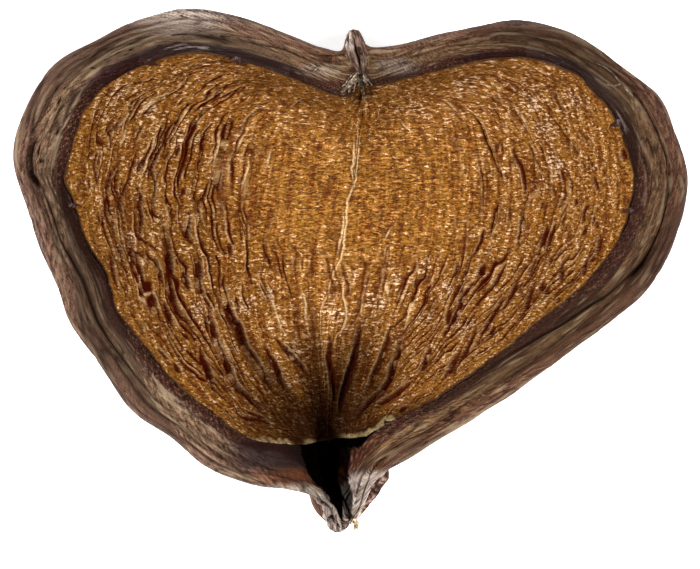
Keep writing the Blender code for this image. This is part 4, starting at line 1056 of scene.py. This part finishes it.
def neck_piece(material):
    """The stalk's remains: flattened sections along y with sharp ridges that converge on the foot.

    The ridges push each section's oval outwards.
    """
    neck = np.array(NECK)
    pick = np.linspace(0, 1, NECK_SECTIONS)
    row = smooth_through(np.linspace(0, 1, len(neck)), neck, pick)
    angle = np.linspace(0, 2 * np.pi, NECK_POINTS, endpoint=False)
    swing = angle[None, :] * NECK_RIDGES / (2 * np.pi)
    bend = 1.3 * lattice_noise(pick[:, None] * 7 + 0 * swing, swing / 4.0, 81)
    ridge = np.abs(np.sin(np.pi * (swing + bend)))
    ridge = ridge * (0.7 + 0.3 * lattice_noise(swing / 2.0, pick[:, None] * 9, 82))
    size = np.minimum(row[:, 3], row[:, 4])[:, None]
    push = 0.55 * ridge * np.minimum(1, size / 3.0) - 0.2
    rings = oval_rings(row, angle, push)
    around = np.repeat(np.linspace(0, NECK_GIRTH, NECK_POINTS + 1)[None, :], NECK_SECTIONS, axis=0)
    along = np.repeat(pick[:, None] * NECK_LENGTH, NECK_POINTS + 1, axis=1)
    seen_x, seen_y = seen_by_camera(rings)
    crack, _ = groove(seen_x, seen_y, FOOT_CRACK, 0.42, 1)
    # Painted shade: the top of the neck inside the split is painted black, as is its crack
    inside = smoothstep(-36.6, -34.6, seen_y) * (np.sin(angle)[None, :] > 0)
    blur = lattice_noise(seen_x / 0.5, seen_y / 0.5, 86)
    stripes = 0.32 + 0.22 * np.sin(2 * np.pi * (0.6 * seen_x + 0.8 * seen_y) / 0.8 + 4 * blur) + 0.4 * blur
    wing = smoothstep(1.0, 2.2, seen_x)
    ridge = (ridge * (1 - wing) + stripes * wing) * (1 - 0.35 * smoothstep(-3.0, -4.5, seen_x))
    # Painted light: right of the crack the neck is painted paler, though it lies in the rim's shadow
    painted_light_right_of_crack = smoothstep(0.3, 0.9, seen_x - x_of_way(FOOT_CRACK, seen_y)) * (1 - wing)
    painted_light_right_of_crack = painted_light_right_of_crack * smoothstep(0.2, 0.5, np.sin(angle)[None, :])
    ridge += 0.8 * painted_light_right_of_crack * smoothstep(-38.2, -39.2, seen_y)
    marks = {
        "ridge": np.clip(ridge, 0, 1), "gloom": np.maximum(np.clip(crack * 1.5, 0, 1), inside),
        "rust": smoothstep(-43.4, -44.8, seen_y) * smoothstep(0.6, -0.4, seen_x),
    }
    return tube_piece("stalk_neck", rings, np.array(NECK_TIPS), along, around, material, marks)


def hood_piece(material):
    """The beak's hood: rounded sections along y with lengthwise wrinkles, parted by a dark crack."""
    hood = np.array(HOOD)
    pick = np.linspace(0, 1, HOOD_SECTIONS)
    row = smooth_through(np.linspace(0, 1, len(hood)), hood, pick)
    angle = np.linspace(0, 2 * np.pi, HOOD_POINTS, endpoint=False)
    wrinkle = lattice_noise(angle[None, :] * 6.0, pick[:, None] * 4.0, 85)
    rings = oval_rings(row, angle, 0.16 * wrinkle)
    seen_x, seen_y = seen_by_camera(rings)
    crack, _ = groove(seen_x, seen_y, HOOD_CRACK, 0.22, 1)
    rings[:, :, 2] -= 0.7 * crack
    crack_x = x_of_way(HOOD_CRACK, seen_y)
    pale = 0.75 * smoothstep(crack_x - 0.1, crack_x - 0.5, seen_x) * smoothstep(29.6, 31.0, seen_y)
    around = np.repeat(np.linspace(0, HOOD_LENGTH, HOOD_POINTS + 1)[None, :], HOOD_SECTIONS, axis=0)
    along = np.repeat(pick[:, None] * HOOD_LENGTH, HOOD_POINTS + 1, axis=1)
    # Painted shade: black in the hood's crack and darker in the hollows of its wrinkles
    marks = {
        "band": np.full_like(crack, -0.05), "furrow": 0.5 * smoothstep(0.2, 0.6, -wrinkle),
        "bleached": np.clip(0.15 + 1.1 * pale, 0, 1), "gloom": np.clip(crack * 1.3, 0, 1),
    }
    return tube_piece("beak_hood", rings, np.array(HOOD_TIPS), along, around, material, marks)


def spur_piece(material):
    """Small flat flaps of the inner margin that lie on the lining and taper inwards."""
    made = []
    for index, (edge, share, length, width) in enumerate(SPURS):
        s = sections(edge, np.array([share]))
        foot, middle = s["inner"][0], s["middle"][0]
        ahead = (middle - foot) / np.linalg.norm(middle - foot)
        beside = np.array([-ahead[1], ahead[0]])
        out = np.linspace(-1.1, length, 16)[:, None]
        span = s["span"][0] - s["face_width"][0]
        from_middle = 1 - np.clip(out, 0, None) / span
        climb = s["floor"][0] + (s["side"][0] - s["floor"][0]) * from_middle**BOWL_ROUNDNESS
        swell = np.clip(1 - (out + 1.1) / (length + 1.1), 0.02, 1) ** 0.7
        angle = np.linspace(0, 2 * np.pi, 20, endpoint=False)[None, :]
        rough = 1 + 0.25 * lattice_noise(angle * 2.2, out * 1.8, 90 + index)
        side_way = 0.5 * width * swell * np.cos(angle) * rough
        height = climb + 0.30 + 0.42 * swell**0.5 * np.sin(angle) * rough
        xy = foot + ahead * (out * np.ones_like(angle))[..., None] + beside * side_way[..., None]
        made.append(np.dstack([xy, height]))
    return tubes_piece("rim_spurs", made, material)


def beak_strands(material):
    """Fibres that hang from the beak over the lining's top: bundles of thin tubes on bent ways."""
    random = np.random.default_rng(5)
    ways = []
    for _ in range(BEAK_FIBRES):
        spread = random.uniform(-1, 1)
        start = np.array([1.6 + 0.4 * spread, random.uniform(26.0, 27.4)])
        end = np.array([1.1 + 2.8 * spread, random.uniform(21.8, 24.8)])
        ways.append(bent_way(start, end, random.normal(0, 0.3)))
    return strands_piece("beak_fibres", ways, random.uniform(0.06, 0.11, len(ways)), material, 0.2)


def straw(material):
    """Straw-coloured wisps at the foot of the stalk."""
    random = np.random.default_rng(6)
    ways = []
    for _ in range(STRAWS):
        start = np.array([random.uniform(0.2, 1.3), random.uniform(-45.2, -44.6)])
        end = start + np.array([random.uniform(-0.6, 0.7), random.uniform(-1.9, -1.0)])
        ways.append(bent_way(start, end, random.normal(0, 0.15)))
    return strands_piece("foot_straw", ways, np.full(len(ways), 0.13), material, 0.1)


def loose_fibres(material):
    """Two loose pale fibres on the rim and a glossy curl beside the beak."""
    ways = [
        np.array([(38.9, 28.0), (40.2, 27.4), (41.4, 26.4), (42.6, 25.0), (43.6, 23.8), (44.8, 22.6)]),
        np.array([(40.5, 24.75), (41.0, 24.5), (41.6, 24.4), (42.2, 24.5), (42.7, 24.75)]),
        np.array([(-6.7, 26.8), (-6.1, 26.9), (-5.6, 27.3), (-5.3, 27.9), (-5.3, 28.3)]),
    ]
    return strands_piece("loose_fibres", ways, np.array([0.08, 0.10, 0.15]), material, 0.12)


def bent_way(start, end, bend):
    """A way from start to end that bows sideways by the given millimetres."""
    t = np.linspace(0, 1, 7)[:, None]
    ahead = end - start
    beside = np.array([-ahead[1], ahead[0]]) / np.linalg.norm(ahead)
    return start + ahead * t + beside * bend * np.sin(np.pi * t)


def strands_piece(name, ways, radii, material, lift):
    """Thin closed tubes along ways that are laid on the husk and lining, lifted a little above them."""
    made = []
    for way, radius in zip(ways, radii):
        steps = distances(way)
        xy = smooth_through(steps, way, np.linspace(0, steps[-1], STRAND_STEPS))
        ground = ground_height(xy)
        bridge = ground[0] + (ground[-1] - ground[0]) * np.linspace(0, 1, STRAND_STEPS)
        z = np.maximum(ground, bridge) + lift + radius
        line = np.column_stack([xy, z])
        ahead = np.gradient(line, axis=0)
        ahead /= np.linalg.norm(ahead, axis=1)[:, None]
        beside = np.cross(ahead, [0, 0, 1])
        beside /= np.linalg.norm(beside, axis=1)[:, None]
        over = np.cross(beside, ahead)
        angle = np.linspace(0, 2 * np.pi, STRAND_SIDES, endpoint=False)
        taper = np.sqrt(np.clip(1 - np.linspace(-0.96, 0.96, STRAND_STEPS) ** 4, 0.05, 1)) * radius
        ring = beside[:, None] * np.cos(angle)[None, :, None] + over[:, None] * np.sin(angle)[None, :, None]
        made.append(line[:, None] + ring * taper[:, None, None])
    return tubes_piece(name, made, material)


def ground_height(xy):
    """Height of the husk's rim or the lining under each point, read from the nearest section point."""
    parts = [(0.005, 0.12, 60), (0.12, 0.88, 90), (0.88, 0.995, 60)]
    share = np.concatenate([np.linspace(*part) for part in parts])
    grids = []
    for edge in (LEFT_EDGE, RIGHT_EDGE):
        s = sections(edge, share)
        out = np.linspace(0, 1, 60)[None, :] * np.ones((len(share), 1))
        grids.append(rim_face(s, np.linspace(0, 1, 24)).reshape(-1, 3))
        bowl = swept(s["middle"], s["inner"], s["floor"], s["side"], out, out**BOWL_ROUNDNESS)
        grids.append(bowl.reshape(-1, 3))
    ground = np.concatenate(grids)
    far = np.hypot(xy[:, None, 0] - ground[None, :, 0], xy[:, None, 1] - ground[None, :, 1])
    return ground[far.argmin(axis=1), 2]


# Meshes


def placed(name, mesh, material):
    """An object at the origin with this mesh and material."""
    mesh.materials.append(material)
    piece = bpy.data.objects.new(name, mesh)
    bpy.context.scene.collection.objects.link(piece)
    return piece


def tube_faces(count, sides, first=0):
    """Corner numbers of a closed tube: quads between its rings, and the fans at its start and its finish."""
    index = first + np.arange(count * sides).reshape(count, sides)
    after = np.roll(index, -1, axis=1)
    tip = first + count * sides
    quads = np.stack([index[:-1], after[:-1], after[1:], index[1:]], axis=2).reshape(-1, 4)
    start = np.stack([np.full(sides, tip), after[0], index[0]], axis=1)
    finish = np.stack([np.full(sides, tip + 1), index[-1], after[-1]], axis=1)
    return quads, start, finish


def tube_piece(name, rings, ends, along, across, material, marks):
    """A closed tube through the rings with a fan at each end, and a UV map in tenths of a metre.

    The UV map has one more column than the rings, so that it can run on past the seam.
    """
    count, sides = rings.shape[:2]
    quads, start, finish = tube_faces(count, sides)
    points = np.concatenate([rings.reshape(-1, 3), ends]) * MM

    place = np.dstack([along, across]) / 100
    here, nexts = place[:, :-1], place[:, 1:]
    quad_place = np.stack([here[:-1], nexts[:-1], nexts[1:], here[1:]], axis=2).reshape(-1, 2)
    start_place = np.stack([(here[0] + nexts[0]) / 2, nexts[0], here[0]], axis=1).reshape(-1, 2)
    finish_place = np.stack([(here[-1] + nexts[-1]) / 2, here[-1], nexts[-1]], axis=1).reshape(-1, 2)

    mesh = bpy.data.meshes.new(name)
    corners = np.concatenate([quads.ravel(), start.ravel(), finish.ravel()])
    sizes = np.concatenate([np.full(len(quads), 4), np.full(2 * sides, 3)])
    mesh.vertices.add(len(points))
    mesh.vertices.foreach_set("co", points.ravel())
    mesh.loops.add(len(corners))
    mesh.loops.foreach_set("vertex_index", corners)
    mesh.polygons.add(len(sizes))
    mesh.polygons.foreach_set("loop_start", np.concatenate([[0], np.cumsum(sizes)[:-1]]))
    mesh.polygons.foreach_set("use_smooth", np.ones(len(sizes), bool))
    mesh.update(calc_edges=True)
    uv = mesh.uv_layers.new(name="Surface")
    uv.data.foreach_set("uv", np.concatenate([quad_place, start_place, finish_place]).ravel())
    for mark, values in marks.items():
        layer = mesh.attributes.new(mark, "FLOAT", "POINT")
        flat = values.ravel()
        layer.data.foreach_set("value", np.concatenate([flat, flat[:1], flat[-1:]]))
    face_outwards(mesh, points, corners, sizes)
    return placed(name, mesh, material)


def face_outwards(mesh, points, corners, sizes):
    """Turn the faces round when the volume inside them comes out negative."""
    starts = np.concatenate([[0], np.cumsum(sizes)[:-1]])
    a = points[corners[starts]]
    b = points[corners[starts + 1]]
    c = points[corners[starts + 2]]
    d = points[corners[starts + sizes - 1]]
    volume = np.sum(a * np.cross(b, c)) + np.sum((a * np.cross(c, d))[sizes == 4])
    if volume < 0:
        mesh.flip_normals()


def tubes_piece(name, tubes, material):
    """Several closed tubes in one mesh, each with a point at both ends."""
    points, faces = [], []
    first = 0
    for rings in tubes:
        count, sides = rings.shape[:2]
        for corners in tube_faces(count, sides, first):
            faces += corners.tolist()
        ends = np.array([rings[0].mean(axis=0), rings[-1].mean(axis=0)])
        points.append(np.concatenate([rings.reshape(-1, 3), ends]) * MM)
        first += count * sides + 2
    mesh = bpy.data.meshes.new(name)
    mesh.from_pydata(np.concatenate(points), [], faces)
    mesh.polygons.foreach_set("use_smooth", np.ones(len(faces), bool))
    mesh.update()
    corner = np.array([mesh.vertices[v].co for v in mesh.polygons[0].vertices])
    middle = points[0].mean(axis=0)
    if np.dot(mesh.polygons[0].normal, corner.mean(axis=0) - middle) < 0:
        mesh.flip_normals()
    return placed(name, mesh, material)


# Materials


def linear(hex_colour):
    """An sRGB hex colour as linear red, green, blue and alpha."""
    channels = [int(hex_colour[k:k + 2], 16) / 255 for k in (1, 3, 5)]
    turned = [c / 12.92 if c <= 0.04045 else ((c + 0.055) / 1.055) ** 2.4 for c in channels]
    return (*turned, 1.0)


def node(tree, kind, settings=None, **inputs):
    """Adds a node. Settings are its own properties, or a ramp's stops as place and hex colour.

    Inputs are values, hex colours or the sockets they come from, by the socket's name or number.
    """
    made = tree.nodes.new(kind)
    for key, value in (settings or {}).items():
        if key == "stops":
            while len(made.color_ramp.elements) < len(value):
                made.color_ramp.elements.new(0.5)
            for element, (place, colour) in zip(made.color_ramp.elements, value):
                element.position = place
                element.color = linear(colour)
        else:
            setattr(made, key, value)
    for key, value in inputs.items():
        name = key.replace("_", " ")
        socket = made.inputs[int(name[5:])] if name.startswith("input") else made.inputs[name]
        if isinstance(value, bpy.types.NodeSocket):
            tree.links.new(value, socket)
        else:
            socket.default_value = linear(value) if isinstance(value, str) else value
    return made


def new_material(name):
    """A new material, its node tree and its shader."""
    material = bpy.data.materials.new(name)
    material.use_nodes = True
    tree = material.node_tree
    return material, tree, tree.nodes["Principled BSDF"]


def husk_wood(name, roughness, specular):
    """Weathered woody husk: lengthwise fibres, furrows darkened with painted shade, a dark inner margin and a
    paler olive band between.
    """
    material, tree, shader = new_material(name)
    place = node(tree, "ShaderNodeUVMap", {"uv_map": "Surface"}).outputs["UV"]
    # Fibres are 0.5 mm wide and about 2 mm long, grains 0.3 mm by 0.7 mm, patches 2 mm by 11 mm
    noises = []
    grains = [((50, 210, 1), 6.0, 0.68), ((140, 330, 1), 3.0, 0.6), ((9, 50, 1), 3.0, 0.6)]
    for scale, detail, rough in grains:
        spread = node(tree, "ShaderNodeMapping", Vector=place, Scale=scale).outputs["Vector"]
        noise = node(tree, "ShaderNodeTexNoise", Vector=spread, Scale=1.0, Detail=detail, Roughness=rough)
        noises.append(noise.outputs["Fac"])
    coarse, fine, patch = noises
    mark = {
        key: node(tree, "ShaderNodeAttribute", {"attribute_name": key}).outputs["Fac"]
        for key in ("band", "furrow", "crest", "pit", "shade", "bleached", "gloom", "maroon", "rust")
    }
    # The bands across the rim drift a little, and their ramp runs from the flank to the inner margin
    lifted = patch
    for times, added in [(0.22, mark["band"]), (0.5, 0.445)]:
        lifted = node(tree, "ShaderNodeMath", {"operation": "MULTIPLY_ADD"}, input0=lifted, input1=times,
                      input2=added).outputs[0]
    bands = node(tree, "ShaderNodeValToRGB", {"stops": [
        (0.00, "#4a3226"), (0.44, "#573b2c"), (0.50, "#7d5644"), (0.56, "#8f6651"), (0.66, "#805840"),
        (0.70, "#7c563c"), (0.74, "#8b6b4b"), (0.84, "#8c6b4b"), (0.89, "#5c3628"), (0.97, "#4c271e"),
    ]}, Fac=lifted).outputs["Color"]
    streaks = node(tree, "ShaderNodeValToRGB", {"stops": [
        (0.38, "#3a322e"), (0.46, "#7c726b"), (0.54, "#b8aea6"), (0.63, "#f4f0ec"),
    ]}, Fac=coarse).outputs["Color"]
    colour = node(tree, "ShaderNodeMix", {"data_type": "RGBA", "blend_type": "MULTIPLY"}, input0=0.9,
                  input6=bands, input7=streaks).outputs[2]
    ramps = []
    for stops, value in [
        ([(0.36, "#260e06"), (0.64, "#784426")], coarse),
        ([(0.40, "#110403"), (0.70, "#3f201b")], fine),
        ([(0.54, "#000000"), (0.64, "#ffffff")], fine),
    ]:
        ramps.append(node(tree, "ShaderNodeValToRGB", {"stops": stops}, Fac=value).outputs["Color"])
    rusty, dark_inner, bright_grain = ramps
    bleach = node(tree, "ShaderNodeMapRange", Value=coarse, input1=0.42, input2=0.58, input3=0.0, input4=1.0)
    # Painted light and shade among the layers: the shade, furrow, pit and deep shade marks are painted shade,
    # and the bleached mark also holds painted glints.
    layers = [
        (mark["crest"], 0.6, "#ac9676"), (bright_grain, 0.4, "#9c8267"), (mark["rust"], 1.0, rusty),
        (mark["maroon"], 1.0, dark_inner), (mark["bleached"], bleach.outputs[0], "#cbbab0"),
        (mark["shade"], 0.42, "#26130f"), (mark["furrow"], 1.0, "#22120b"), (mark["pit"], 1.0, "#1a0e08"),
        (mark["gloom"], 1.0, "#030101"),
    ]
    for share, strength, over in layers:
        cover = node(tree, "ShaderNodeMath", {"operation": "MULTIPLY"}, input0=share, input1=strength)
        colour = node(tree, "ShaderNodeMix", {"data_type": "RGBA"}, input0=cover.outputs[0], input6=colour,
                      input7=over).outputs[2]
    tree.links.new(colour, shader.inputs["Base Color"])
    height = node(tree, "ShaderNodeMath", {"operation": "MULTIPLY_ADD"}, input0=fine, input1=0.5,
                  input2=coarse)
    bump = node(tree, "ShaderNodeBump", Strength=1.0, Distance=0.0005, Height=height.outputs[0])
    tree.links.new(bump.outputs["Normal"], shader.inputs["Normal"])
    shader.inputs["Roughness"].default_value = roughness
    shader.inputs["Specular IOR Level"].default_value = specular
    return material


def slot_shade():
    """The unlit wood deep in the split: nearly black and quite dull."""
    material, tree, shader = new_material("painted shade in the split")
    place = node(tree, "ShaderNodeTexCoord").outputs["Object"]
    grain = node(tree, "ShaderNodeTexNoise", Vector=place, Scale=900.0, Detail=3.0).outputs["Fac"]
    colour = node(tree, "ShaderNodeValToRGB", {"stops": [(0.35, "#000000"), (0.8, "#060302")]}, Fac=grain)
    tree.links.new(colour.outputs["Color"], shader.inputs["Base Color"])
    shader.inputs["Roughness"].default_value = 1.0
    shader.inputs["Specular IOR Level"].default_value = 0.0
    return material


def stalk_wood():
    """Bleached, fibrous stalk wood: pale greyish-pink ridges with dark brown between them."""
    material, tree, shader = new_material("bleached stalk wood")
    place = node(tree, "ShaderNodeUVMap", {"uv_map": "Surface"}).outputs["UV"]
    # Fibres 0.25 mm wide and 2.5 mm long
    spread = node(tree, "ShaderNodeMapping", Vector=place, Scale=(40.0, 400.0, 1.0)).outputs["Vector"]
    grain = node(tree, "ShaderNodeTexNoise", Vector=spread, Scale=1.0, Detail=5.0, Roughness=0.65)
    grain = grain.outputs["Fac"]
    mark = {
        key: node(tree, "ShaderNodeAttribute", {"attribute_name": key}).outputs["Fac"]
        for key in ("ridge", "gloom", "rust")
    }
    mixed = node(tree, "ShaderNodeMath", {"operation": "MULTIPLY_ADD"}, input0=grain, input1=0.8,
                 input2=mark["ridge"])
    tone = node(tree, "ShaderNodeMath", {"operation": "MULTIPLY"}, input0=mixed.outputs[0], input1=0.6)
    tone = tone.outputs[0]
    colour = node(tree, "ShaderNodeValToRGB", {"stops": [
        (0.26, "#1a0b06"), (0.38, "#45261a"), (0.50, "#765544"), (0.64, "#a68f80"), (0.8, "#d6c5b6"),
    ]}, Fac=tone).outputs["Color"]
    rusty = node(tree, "ShaderNodeValToRGB", {"stops": [(0.30, "#2b120a"), (0.60, "#8a6145")]}, Fac=tone)
    # Painted shade: black where the neck lies inside the split and in its crack
    for share, over in [(mark["rust"], rusty.outputs["Color"]), (mark["gloom"], "#040202")]:
        colour = node(tree, "ShaderNodeMix", {"data_type": "RGBA"}, input0=share, input6=colour,
                      input7=over).outputs[2]
    tree.links.new(colour, shader.inputs["Base Color"])
    bump = node(tree, "ShaderNodeBump", Strength=0.8, Distance=0.0003, Height=grain)
    tree.links.new(bump.outputs["Normal"], shader.inputs["Normal"])
    shader.inputs["Roughness"].default_value = 0.6
    shader.inputs["Specular IOR Level"].default_value = 0.2
    return material


def spur_skin():
    """Skin of the small flaps at the inner margin: dark purple-brown and glossy."""
    material, tree, shader = new_material("dark glossy margin skin")
    place = node(tree, "ShaderNodeTexCoord").outputs["Object"]
    # Mottling about every half millimetre
    patch = node(tree, "ShaderNodeTexNoise", Vector=place, Scale=2000.0, Detail=3.0, Roughness=0.6)
    patch = patch.outputs["Fac"]
    stops = [(0.38, "#190a09"), (0.56, "#331b18"), (0.72, "#5e4a45")]
    colour = node(tree, "ShaderNodeValToRGB", {"stops": stops}, Fac=patch)
    tree.links.new(colour.outputs["Color"], shader.inputs["Base Color"])
    bump = node(tree, "ShaderNodeBump", Strength=0.8, Distance=0.0002, Height=patch)
    tree.links.new(bump.outputs["Normal"], shader.inputs["Normal"])
    shader.inputs["Roughness"].default_value = 0.35
    shader.inputs["Specular IOR Level"].default_value = 0.3
    return material


def dry_fibre(name, dark, middle, pale):
    """Dry plant fibre in patches of three tones, a little shiny."""
    material, tree, shader = new_material(name)
    place = node(tree, "ShaderNodeTexCoord").outputs["Object"]
    # Tone changes about every half millimetre
    patch = node(tree, "ShaderNodeTexNoise", Vector=place, Scale=2200.0, Detail=3.0, Roughness=0.6)
    stops = [(0.40, dark), (0.50, middle), (0.64, pale)]
    colour = node(tree, "ShaderNodeValToRGB", {"stops": stops}, Fac=patch.outputs["Fac"])
    tree.links.new(colour.outputs["Color"], shader.inputs["Base Color"])
    shader.inputs["Roughness"].default_value = 0.4
    shader.inputs["Specular IOR Level"].default_value = 0.4
    return material


def lining_skin():
    """Papery golden-brown lining: crinkles across the folds, painted with highlights on their tops and shade
    in their pits, and dark red cracks that are partly painted shade.
    """
    material, tree, shader = new_material("papery pod lining")
    place = node(tree, "ShaderNodeUVMap", {"uv_map": "Surface"}).outputs["UV"]
    # From here on one unit of the pattern's place is a millimetre
    place = node(tree, "ShaderNodeMapping", Vector=place, Scale=(100.0, 100.0, 100.0)).outputs["Vector"]
    # Crinkles run across the pod: 0.33 mm apart and about 1 mm long, read from the object's own metres
    metres = node(tree, "ShaderNodeTexCoord").outputs["Object"]
    spread = node(tree, "ShaderNodeMapping", Vector=metres, Scale=(1050.0, 3000.0, 1400.0)).outputs["Vector"]
    crinkle = node(tree, "ShaderNodeTexNoise", Vector=spread, Scale=1.0, Detail=2.0, Roughness=0.55,
                   Distortion=0.9).outputs["Fac"]
    crinkle = node(tree, "ShaderNodeMapRange", Value=crinkle, input1=0.27, input2=0.73, input3=0.0,
                   input4=1.0).outputs[0]
    # Small folds run from stalk to beak: about 1 mm apart and 10 mm long
    spread = node(tree, "ShaderNodeMapping", Vector=place, Scale=(0.11, 0.95, 1.0)).outputs["Vector"]
    fold = node(tree, "ShaderNodeTexNoise", Vector=spread, Scale=1.0, Detail=4.0, Roughness=0.6,
                Distortion=0.35).outputs["Fac"]
    # Flecks about every 0.4 mm, and tints of 2 mm by 7 mm
    fleck = node(tree, "ShaderNodeTexNoise", Vector=place, Scale=2.6, Detail=3.0, Roughness=0.7)
    fleck = fleck.outputs["Fac"]
    spread = node(tree, "ShaderNodeMapping", Vector=place, Scale=(0.14, 0.5, 1.0)).outputs["Vector"]
    tint = node(tree, "ShaderNodeTexNoise", Vector=spread, Scale=1.0, Detail=5.0, Roughness=0.6)
    mark = {
        key: node(tree, "ShaderNodeAttribute", {"attribute_name": key}).outputs["Fac"]
        for key in ("crack", "hollow", "crest", "stain", "torn", "lip", "sheen", "busy")
    }
    # The crinkled height, and the same with more of it where the lining glitters with painted glints
    wrinkle = crinkle
    for value, times in [(fleck, 0.8), (fold, 0.9)]:
        wrinkle = node(tree, "ShaderNodeMath", {"operation": "MULTIPLY_ADD"}, input0=value, input1=times,
                       input2=wrinkle).outputs[0]
    wrinkle = node(tree, "ShaderNodeMath", {"operation": "SUBTRACT"}, input0=wrinkle, input1=0.25).outputs[0]
    painted_glint = wrinkle
    for value, times in [(mark["sheen"], 0.17), (mark["busy"], 0.16)]:
        painted_glint = node(tree, "ShaderNodeMath", {"operation": "MULTIPLY_ADD"}, input0=value, input1=times,
                     input2=painted_glint).outputs[0]
    # How far the crinkles show: less at the lip and in hollows
    rest = node(tree, "ShaderNodeMath", {"operation": "MULTIPLY_ADD"}, input0=mark["lip"], input1=-0.8,
                input2=1.0)
    rest = node(tree, "ShaderNodeMath", {"operation": "MULTIPLY_ADD", "use_clamp": True},
                input0=mark["hollow"], input1=-0.35, input2=rest.outputs[0]).outputs[0]
    held = []
    for value, start, end, most in [
        (fold, 0.49, 0.40, 0.6), (wrinkle, 1.05, 0.76, 0.85),
        (wrinkle, 1.08, 1.42, 0.85), (painted_glint, 1.48, 1.66, 0.9),
    ]:
        amount = node(tree, "ShaderNodeMapRange", Value=value, input1=start, input2=end, input3=0.0,
                      input4=most).outputs[0]
        amount = node(tree, "ShaderNodeMath", {"operation": "MULTIPLY"}, input0=amount, input1=rest)
        held.append(amount.outputs[0])
    valley, painted_pit_shade, painted_top_light, painted_glint = held
    crest = node(tree, "ShaderNodeMath", {"operation": "MULTIPLY"}, input0=mark["crest"], input1=wrinkle)
    crest = node(tree, "ShaderNodeMath", {"operation": "MULTIPLY", "use_clamp": True},
                 input0=crest.outputs[0], input1=0.82).outputs[0]
    shreds = node(tree, "ShaderNodeMapRange", Value=fleck, input1=0.40, input2=0.54, input3=0.1, input4=1.0)
    colour = node(tree, "ShaderNodeValToRGB", {"stops": [
        (0.32, "#563308"), (0.45, "#6d460b"), (0.57, "#7c5111"), (0.70, "#8b6121"),
    ]}, Fac=tint.outputs["Fac"]).outputs["Color"]
    # Painted light and shade among the layers: the busy folded parts are painted lighter, and tops, glints
    # and crests are painted highlights. Pits and hollows are painted shade, the cracks are partly the skin's
    # own dark red and partly painted shade, the stain is partly painted shade, and the lip is painted darker
    # as shade where the lining meets the rim.
    layers = [
        (mark["busy"], 0.30, "#9e6216"), (valley, 1.0, "#75390a"), (painted_pit_shade, 1.0, "#431605"),
        (painted_top_light, 1.0, "#ba7d38"), (painted_glint, 1.0, "#f0cfae"), (crest, 1.0, "#e8c08a"),
        (mark["hollow"], 0.85, "#4a1603"),
        (mark["crack"], 1.0, "#3d0b03"), (mark["stain"], 0.90, "#1a0604"), (mark["lip"], 1.0, "#3f2614"),
        (mark["torn"], shreds.outputs[0], "#a8946a"),
    ]
    for share, strength, over in layers:
        cover = node(tree, "ShaderNodeMath", {"operation": "MULTIPLY"}, input0=share, input1=strength)
        colour = node(tree, "ShaderNodeMix", {"data_type": "RGBA"}, input0=cover.outputs[0], input6=colour,
                      input7=over).outputs[2]
    tree.links.new(colour, shader.inputs["Base Color"])
    dull = node(tree, "ShaderNodeMath", {"operation": "MAXIMUM"}, input0=mark["crack"], input1=mark["stain"])
    gleam = node(tree, "ShaderNodeMapRange", Value=dull.outputs[0], input1=0.0, input2=0.8, input3=0.16,
                 input4=0.01)
    tree.links.new(gleam.outputs[0], shader.inputs["Specular IOR Level"])
    bump = node(tree, "ShaderNodeBump", Strength=1.0, Distance=0.00030, Height=wrinkle)
    tree.links.new(bump.outputs["Normal"], shader.inputs["Normal"])
    shader.inputs["Roughness"].default_value = 0.34
    return material


# Stage


def floor_and_light():
    """A near-white floor, a bright even sky and two lamps at the upper sides of the picture."""
    material, _, shader = new_material("white paper")
    shader.inputs["Base Color"].default_value = linear("#f0f0f0")
    shader.inputs["Roughness"].default_value = 0.9
    shader.inputs["Emission Color"].default_value = (1, 1, 1, 1)
    shader.inputs["Emission Strength"].default_value = 0.75
    mesh = bpy.data.meshes.new("floor")
    size = 3.0
    corners = [(-size, -size, 0), (size, -size, 0), (size, size, 0), (-size, size, 0)]
    mesh.from_pydata(corners, [], [(0, 1, 2, 3)])
    floor = placed("floor", mesh, material)
    world = bpy.data.worlds.new("studio")
    bpy.context.scene.world = world
    world.use_nodes = True
    world.node_tree.nodes["Background"].inputs["Color"].default_value = (1, 1, 1, 1)
    world.node_tree.nodes["Background"].inputs["Strength"].default_value = 0.34
    lamp("left lamp", (-0.42, 0.02, 0.40), 0.10, 5.2)
    lamp("right lamp", (0.42, 0.00, 0.40), 0.10, 4.2)
    view = bpy.context.scene.view_settings
    view.view_transform = "Standard"
    view.look = "None"


def lamp(name, place, size, power):
    """A round soft lamp that points at the pod."""
    light = bpy.data.lights.new(name, "AREA")
    light.shape = "DISK"
    light.size = size
    light.energy = power
    rig = bpy.data.objects.new(name, light)
    rig.location = place
    aim = -rig.location
    rig.rotation_euler = aim.to_track_quat("-Z", "Y").to_euler()
    bpy.context.scene.collection.objects.link(rig)


def camera():
    """A long lens straight above the pod, with the picture's own framing."""
    data = bpy.data.cameras.new("camera")
    data.sensor_width = SENSOR_WIDTH
    data.lens = SENSOR_WIDTH * CAMERA_HEIGHT / FRAME_WIDTH
    data.clip_start = 0.01
    data.clip_end = 10
    rig = bpy.data.objects.new("camera", data)
    rig.location = (CAMERA_X * MM, CAMERA_Y * MM, (RIM_LEVEL + CAMERA_HEIGHT) * MM)
    bpy.context.scene.collection.objects.link(rig)
    bpy.context.scene.camera = rig


main()
